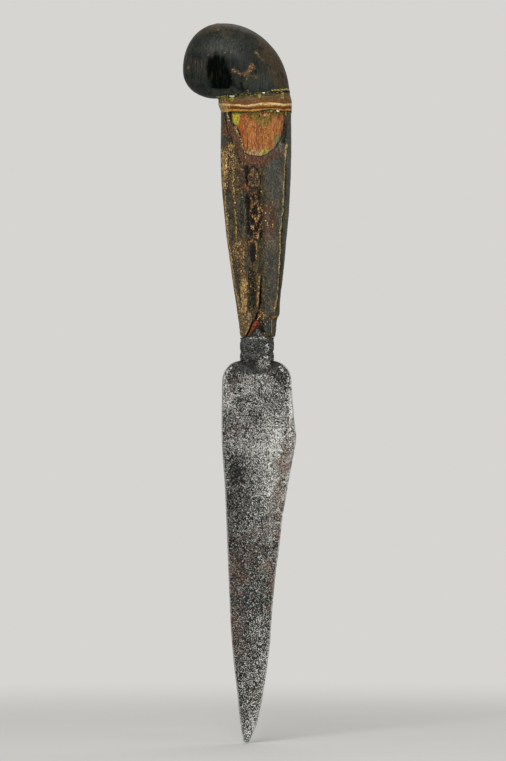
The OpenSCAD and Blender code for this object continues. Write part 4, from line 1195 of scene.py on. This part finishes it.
lower_piece = ring_piece(
    "liner_lower", lower_low, tan_joint, 0.2, 45, rows=9, swell=-0.1, lumps=0.5, size=(0.9, 0.9, 0.7),
    marks=lower_marks)
upper_piece = ring_piece(
    "liner_upper", upper_low, upper_high, 0.25, 46, swell=0.1, lumps=0.4, size=(0.8, 0.8, 0.6),
    marks=upper_marks)
verdigris = Finish("verdigris")
crumbs = verdigris.grain(0.66, 3, 0.6)
cloudy = verdigris.grain(2.2, 4, 0.6, seed=1)
bare = (verdigris["bare"] + (cloudy + crumbs - 1.0) * 1.6).step(0.45, 0.75)
verdigris.set(
    Base_Color=verdigris.painted(
        (190, 182, 86),
        ((76, 72, 34), crumbs.step(0.46, 0.54)),
        ((210, 200, 118), crumbs.step(0.41, 0.36)),
        ((20, 17, 11), crumbs.step(0.56, 0.60)),
        ((112, 70, 38), cloudy.step(0.53, 0.60) * 0.8),
        # Painted shade in the sunk joints, with crumbs of crust showing.
        (verdigris.painted((18, 15, 10), ((176, 160, 74), crumbs.step(0.44, 0.40))), bare * 0.95),
        # Painted highlights: the glints on the crust are near white.
        ((253, 250, 232), verdigris.broken("light", crumbs, 1.2, 0.4, 0.6)),
    ),
    Roughness=0.75,
)
verdigris.relief(crumbs, 0.35)
fit(lower_piece, "lower_liner", verdigris)
fit(upper_piece, "upper_liner", verdigris)

# Pommel: one block of black horn, sawn and polished to a curled beak, with a blind hole for the tang.
# The front has a dark hollow over the beak's throat, a star of brown flakes and a crease by the seat.
pommel_h, pommel_t, beak_level, beak_reach = 29.8, 24.0, 11.0, 28.3
crown_off, throat_off, heel_off = 13.0, 16.0, 13.6
seat_w, seat_t, back_rounding, seat_gap = 28.8, 21.4, 2.1, 0.4
v = np.concatenate([
    beak_level * np.linspace(0, 1, 46) ** 1.8,
    beak_level + (pommel_h - beak_level) * np.sin(np.linspace(0, math.pi / 2, 74)[1:-1]), [pommel_h - 0.004],
])
over = oval(np.clip((v - beak_level) / (pommel_h - beak_level), 0, 1))
under = np.clip(1 - v / beak_level, 0, 1)
left = np.where(
    v < beak_level, -throat_off - (beak_reach - throat_off) * oval(under),
    -crown_off - (beak_reach - crown_off) * over)
left[0] = -seat_w / 2
right = -crown_off + (heel_off + crown_off) * np.sqrt(1 - (v / pommel_h) ** back_rounding)
half_t = np.where(v < beak_level, pommel_t / 2 - (pommel_t - seat_t) / 2 * under ** 2, pommel_t / 2 * over)
upright = oval_rings(
    v[:, None], turns(len(v), 320), (right - left)[:, None] / 2, half_t[:, None],
    (right + left)[:, None] / 2)
along, lift = upright[..., 0], upright[..., 2] + seat_gap
rings = upright.copy()
rings[..., 0] = -lean + along * math.cos(seat_slope) - lift * math.sin(seat_slope)
rings[..., 2] = seat_z + along * math.sin(seat_slope) + lift * math.cos(seat_slope)
x, y, z = rings[..., 0], rings[..., 1], rings[..., 2]
from_seat = z - seat(0)(x, y)
front = smooth_step(0, -4, y)
# The camera stands below the pommel and sees the marks on its full front higher up, so they are laid lower.
seen_higher = 1.0
z = z + seen_higher * front


def mark(width, *points):
    return track(x, z, width, *points) * front


wobble = cloud(rings, (1.6, 1.6, 5), 3, 54)
hollow_left = -18.2 - 0.9 * smooth_step(57, 61, z)
hollow_foot = 54.9 + 0.018 * (x + 14) ** 2 + 0.25 * wobble
hollow_away = out_of_oval((x + 17.8) / 8.2, (z - 55.8) / 13.8, 2.4) + 0.12 * wobble
hollow = smooth_step(1.2, 0.6, hollow_away) * smooth_step(-2.4, 1.6, x - hollow_left + 0.8 * wobble)
hollow = hollow * smooth_step(-0.3, 0.4, z - hollow_foot) * front
lip = hump(z, hollow_foot - 1.6, 1.3) * smooth_step(-21.5, -18, x) * smooth_step(-7, -9.5, x) * front
crease = most(
    mark(0.75, (-6.4, 57.0), (-6.0, 55.6), (-5.6, 53.4)),
    0.6 * mark(1.0, (-10.0, 56.4), (-7.4, 54.8), (-4.6, 54.4)))
far_joint = smooth_step(4.6, 6.4, x)
near_joint = 1 - far_joint
crust = most(
    far_joint * hump(from_seat - 0.2 * wobble, 1.2, 0.32)
    + 0.5 * near_joint * smooth_step(1.2, 0.5, from_seat) * smooth_step(-13, -11, x),
    0.9 * smooth_step(1.1, 0.5, from_seat) * smooth_step(-17, -15.4, x) * smooth_step(-10.8, -12, x))
# crust_gap: the gap under the crust, painted black as shade.
crust_gap = far_joint * hump(from_seat, 0.55, 0.35) + 0.8 * near_joint * hump(from_seat, 0.5, 0.25)
olive_band = mark(0.9, (-3.4, 61.8), (-4.6, 59.0), (-4.9, 55))
flake_noise = cloud(rings, (0.9, 0.9, 0.9), 3, 51)


def flake(width, start, end):
    """A chip that tapers along a line between two (x, z) places on the front, ragged at its rim."""
    run = np.array(end) - np.array(start)
    along = np.clip(((x - start[0]) * run[0] + (z - start[1]) * run[1]) / (run ** 2).sum(), 0, 1)
    off = np.hypot(x - start[0] - along * run[0], z - start[1] - along * run[1])
    return smooth_step(1.5, 0.4, off / (width * (1.2 - 0.7 * along)) + 0.7 * flake_noise) * front


chips = most(*(amount * flake(width, start, end) for amount, width, start, end in (
    (0.8, 0.9, (-9.4, 62.4), (-6.6, 60.8)), (1.1, 1.0, (-1.8, 64.0), (-5.2, 60.2)),
    (0.2, 0.8, (-9.4, 60.4), (-9.8, 57.8)), (0.55, 0.8, (-4.4, 61.4), (0.2, 59.4)),
    (0.4, 0.6, (-4.8, 60.4), (-3.4, 58.2)), (0.8, 0.5, (-0.4, 69.6), (1.6, 67.2)),
    (0.6, 0.35, (1.4, 67.6), (3.2, 65.4)), (0.55, 0.5, (-6.6, 60.8), (-4.6, 61.2)),
    (0.8, 0.35, (-3.8, 54.2), (-2.8, 52.6)),
)))
chip_holes = most(flake(0.45, (-3.2, 62.6), (-2.4, 63.4)), 0.8 * flake(0.4, (-8.0, 61.2), (-7.4, 60.8)))
specks = most(*(spot(x, z, at, (r, r), 0.4) * front for at, r in (
    ((-15.6, 78.8), 0.45), ((-27.3, 63.6), 0.5), ((-10.6, 69.6), 0.36), ((-19.6, 68.4), 0.36),
    ((-17.8, 70.2), 0.3), ((-15.4, 70.8), 0.28), ((-24.6, 65.6), 0.26), ((-12.8, 69.4), 0.26),
)))
ends = smooth_step(0, 1.2, v)[:, None] * smooth_step(pommel_h, pommel_h - 0.05, v)[:, None]
dip = smooth_step(1.5, 0.2, np.hypot((x + 14.3) / 6.4, (z - 62) / 7.6)) * front
height = 0.14 * cloud(rings, 11, 2, 52) - 0.95 * dip + 0.06 * lip - 0.6 * crease + 0.10 * olive_band - 0.06
height = height + chips * (0.14 + 0.16 * flake_noise) - 0.2 * chip_holes
pommel = skin("pommel_horn", raised(rings, np.clip(height, -1.3, 0.1) * ends), {
    "hollow": hollow, "chips": most(chips, specks), "crust": crust * front,
    "crease": most(crease, 0.3 * chip_holes, 0.9 * crust_gap * front), "olive": most(0.85 * lip, olive_band),
    # ridge: a band along the beak's outline, for a painted rim light.
    "ridge": hump(y, 0, 2.6) * smooth_step(-2, -8, x),
}, sharp=60)

black_horn = Finish("polished_horn")
stria = black_horn.grain(0.42, 3, 0.65, (1, 1, 16))
stria_broad = black_horn.grain(1.3, 3, 0.6, (1, 1, 8), seed=1)
mist = black_horn.grain(6.5, 4, 0.6, (1, 1, 1.2), seed=2)
tiny = black_horn.grain(0.6, 3, 0.65, seed=3)
clouds = black_horn.grain(2.2, 4, 0.65, (1, 1, 1.4), seed=4)
flint = black_horn.grain(0.45, 2, 0.5, (1, 1, 1.6), seed=6)
at_x, at_z = black_horn.x, black_horn.z
off_x, off_z = at_x + 13.5, at_z - 71
# Painted sheen: a soft lighter patch high on the beak, and another low on the front, where the polish would
# catch the light.
painted_sheen = (1.0 - off_x * off_x * 0.010 - off_z * off_z * 0.022 + (clouds - 0.5) * 1.2).step(0.0, 0.9)
low_x, low_z = at_x - 0.5, at_z - 57
painted_low_sheen = (1.0 - low_x * low_x * 0.02 - low_z * low_z * 0.06 + (clouds - 0.5) * 1.4).step(0.0, 0.9)
painted_low_sheen = painted_low_sheen * black_horn.y.step(0, -3)
brown_zone = (at_x * 0.9 + (at_z - 66) * 0.34).step(-1.0, 5.0)
brown_zone = brown_zone * (at_x * 0.8 + (at_z - 66) * 0.5).step(11.0, 7.0)
brown = brown_zone.most(at_z.step(71, 80) * 0.8) * 0.9
brown = (brown + (mist - 0.5) * 0.7 + (clouds - 0.5) * 0.8 + (stria_broad - 0.5) * 1.6).step(0.2, 1.0)
near_left = at_x.step(-20, -23) * at_x.step(-28, -25) * at_z.step(59, 62) * at_z.step(68, 65)
# Painted shade: the hollow is near black, darker than the horn itself, with faint striations.
hollow_mask = (black_horn["hollow"] * 1.2 + (stria - 0.5) * 1.7 + (clouds - 0.5) * 1.2).step(0.08, 0.75)
in_hollow = black_horn.painted(
    (1, 3, 2), ((22, 30, 23), (stria * 0.7 + tiny * 0.3).step(0.53, 0.61) * 0.4),
    ((56, 42, 27), (stria * 0.6 + stria_broad * 0.4).step(0.55, 0.61) * at_z.step(56, 62) * 0.7),
)
chip_mask = (black_horn["chips"] + (tiny + clouds - 1.0) * 2.2 + (flint - 0.5) * 1.4).step(0.35, 0.9)
chip_mask = chip_mask * black_horn["chips"].step(0.02, 0.2)
chip_colour = black_horn.painted(
    (122, 92, 62), ((54, 42, 31), flint.step(0.45, 0.55)), ((174, 146, 106), flint.step(0.59, 0.63)))
haze = black_horn.broken("chips", clouds, 1.6, 0.05, 0.5) * black_horn["chips"].step(0, 0.06)
dust = black_horn.grain(0.6, 2, 0.4, seed=5).step(0.76, 0.81) * (1 - hollow_mask)
crust_mask = (black_horn["crust"] + (flint - 0.5) * 2.6 + (clouds - 0.5) * 1.0).step(0.5, 0.75)
crust_mask = crust_mask * black_horn["crust"].step(0.05, 0.3)
olive = black_horn["olive"] * clouds.step(0.40, 0.54) * (0.55 + stria.step(0.44, 0.56) * 0.4)
black_horn.set(
    Base_Color=black_horn.painted(
        (22, 27, 23),
        ((34, 38, 33), (mist * 0.5 + clouds * 0.5).step(0.44, 0.56)),
        # Painted sheen, high on the beak and low on the front.
        ((44, 48, 43), painted_sheen * 0.6),
        ((47, 52, 47), painted_low_sheen * (0.45 + stria.step(0.44, 0.56) * 0.5)),
        ((78, 62, 38), brown * (0.45 + stria.step(0.42, 0.56) * 0.25)),
        # Painted sheen along the far left of the beak.
        ((66, 72, 64), at_x.step(-21, -27) * clouds.step(0.40, 0.56) * 0.2),
        ((104, 70, 44), near_left * stria.step(0.54, 0.62) * 0.7),
        # Light striations, stronger under the painted sheen.
        ((80, 80, 72), stria.step(0.53, 0.62) * (painted_sheen * 0.5 + 0.25)),
        ((9, 11, 9), (stria * 0.75 + tiny * 0.25).step(0.465, 0.40) * 0.8),
        # Pale specks, more of them in the brown zone and the painted low sheen.
        ((96, 84, 68), tiny.step(0.61, 0.68) * (brown * 0.5 + painted_low_sheen * 0.5 + 0.15)),
        # Painted rim light: brown along the outline of the beak, where the pommel's side turns away.
        ((98, 64, 40), black_horn["ridge"] * clouds.step(0.40, 0.58) * 0.6),
        ((60, 63, 46), olive),
        # Painted shade in the hollow.
        (in_hollow, hollow_mask),
        # Painted shade: black in the crease, the chip holes and the gap under the crust.
        ((2, 2, 2), black_horn["crease"].step(0.25, 0.8)),
        ((80, 62, 44), haze * 0.45),
        (chip_colour, chip_mask * 0.8),
        ((120, 106, 86), dust * 0.5),
        (black_horn.painted((186, 176, 92), ((92, 84, 38), tiny.step(0.46, 0.55))), crust_mask * 0.95),
    ),
    Roughness=0.55 + chip_mask * 0.3 + hollow_mask * 0.3,
    Specular_IOR_Level=0.04,
    Coat_Weight=(1 - hollow_mask) * (1 - chip_mask) * (0.22 + (clouds - 0.5) * 0.5),
    Coat_Roughness=0.4,
)
black_horn.relief(stria * 0.4 + tiny * 0.4 + chip_mask * 0.4, 0.02)
fit(pommel, "pommel", black_horn)

# Lac in the pommel: it fills the blind hole round the end of the tang and glues the pommel on.
# It is sealed in and never seen.
hole_low, hole_high = box_mm("pommel_lac")
hole_half = (hole_high - hole_low) / 2
hole_z = np.linspace(hole_low[2], hole_high[2], 8)[:, None]
filling = skin("pommel_lac_fill", oval_rings(hole_z, turns(len(hole_z), 48), hole_half[0], hole_half[1], 0))
fit(filling, "pommel_lac", resin)

# Floor and surround: a pale floor just under the point, which fades into a pale surround far away.
# The knife stands on its point, as it would hang.
floor_half, under_point, fade_start, fade_end = 6.0, 0.3, 160, 520
floor_z = (point_z - under_point) * MM
corners = [(i * floor_half, j * floor_half, floor_z) for i, j in ((-1, -1), (1, -1), (1, 1), (-1, 1))]
floor_mesh = bpy.data.meshes.new("floor")
floor_mesh.from_pydata(corners, [], [(0, 1, 2, 3)])
pale_grey = (214, 213, 210)
paper = Finish("floor_paper")
paper.set(
    Base_Color=paper.painted((208, 207, 204), ((213, 212, 209), paper.grain(40, 3, 0.5))),
    Roughness=0.9,
    Specular_IOR_Level=0.1,
)
glow = paper.node("Emission", {}, {"Color": pale_grey, "Strength": 1.0})
far = ((paper.x * paper.x + paper.y * paper.y) ** 0.5).step(fade_start, fade_end)
seen_far = far * paper.node("LightPath", {}, {}, "Is Camera Ray")
surface = paper.node("MixShader", {}, {0: seen_far, 1: Wire(paper, paper.shader.outputs[0]), 2: glow})
paper.plug(paper.tree.nodes["Material Output"].inputs["Surface"], surface)
floor_mesh.materials.append(paper.material)
floor = placed(bpy.data.objects.new("floor", floor_mesh))

world = bpy.data.worlds.new("surround")
bpy.context.scene.world = world
world.use_nodes = True
sky = Nodes(world.node_tree)
seen, mirrored, through_glass = (
    sky.node("LightPath", {}, {}, f"Is {ray} Ray") for ray in ("Camera", "Glossy", "Transmission"))
soft_light = (0.42, 0.42, 0.42, 1)
background = sky.tree.nodes["Background"].inputs
sky.plug(background["Color"], sky.painted(soft_light, (pale_grey, seen.most(mirrored.most(through_glass)))))
sky.plug(background["Strength"], 1.0)


# Lamps: a soft one above on the left, a fainter one on the right and one above behind. They add
# some direction to the even light of the surround.
def lamp(name, place, power, size):
    data = bpy.data.lights.new(name, "AREA")
    data.energy = power
    data.shape = "RECTANGLE"
    data.size, data.size_y = size
    lamp_object = placed(bpy.data.objects.new(name, data))
    lamp_object.location = place
    aim = Vector((0, 0, -0.05)) - Vector(place)
    lamp_object.rotation_euler = aim.to_track_quat("-Z", "Y").to_euler()


lamp("key", (-0.25, -1.05, 0.75), 9.5, (0.6, 0.6))
lamp("fill", (0.9, -0.8, 0.15), 2.5, (0.8, 0.8))
lamp("back", (0.2, 0.7, 1.1), 3.5, (0.8, 0.6))

# Camera: it looks at the knife square on, from 2.4 m away. Its place puts the tang's axis and the middle
# of the grip at the pixel where the photograph has them, and its lens gives 0.4 mm a pixel there.
picture_w, picture_h, mm_per_pixel = 506, 761, 0.4
axis_pixel_x, middle_pixel_y = 257, 225
distance, film = 2.4, 36
camera_data = bpy.data.cameras.new("camera")
camera_data.sensor_fit = "VERTICAL"
camera_data.sensor_height = film
camera_data.lens = film * distance / (picture_h * mm_per_pixel * MM)
camera_data.clip_start, camera_data.clip_end = 0.05, 50
camera = placed(bpy.data.objects.new("camera", camera_data))
camera_x = (picture_w / 2 - axis_pixel_x) * mm_per_pixel * MM
camera_z = (middle_pixel_y - picture_h / 2) * mm_per_pixel * MM
camera.location = (camera_x, -distance, camera_z)
camera.rotation_euler = (math.pi / 2, 0, 0)
bpy.context.scene.camera = camera
bpy.context.scene.view_settings.view_transform = "Standard"
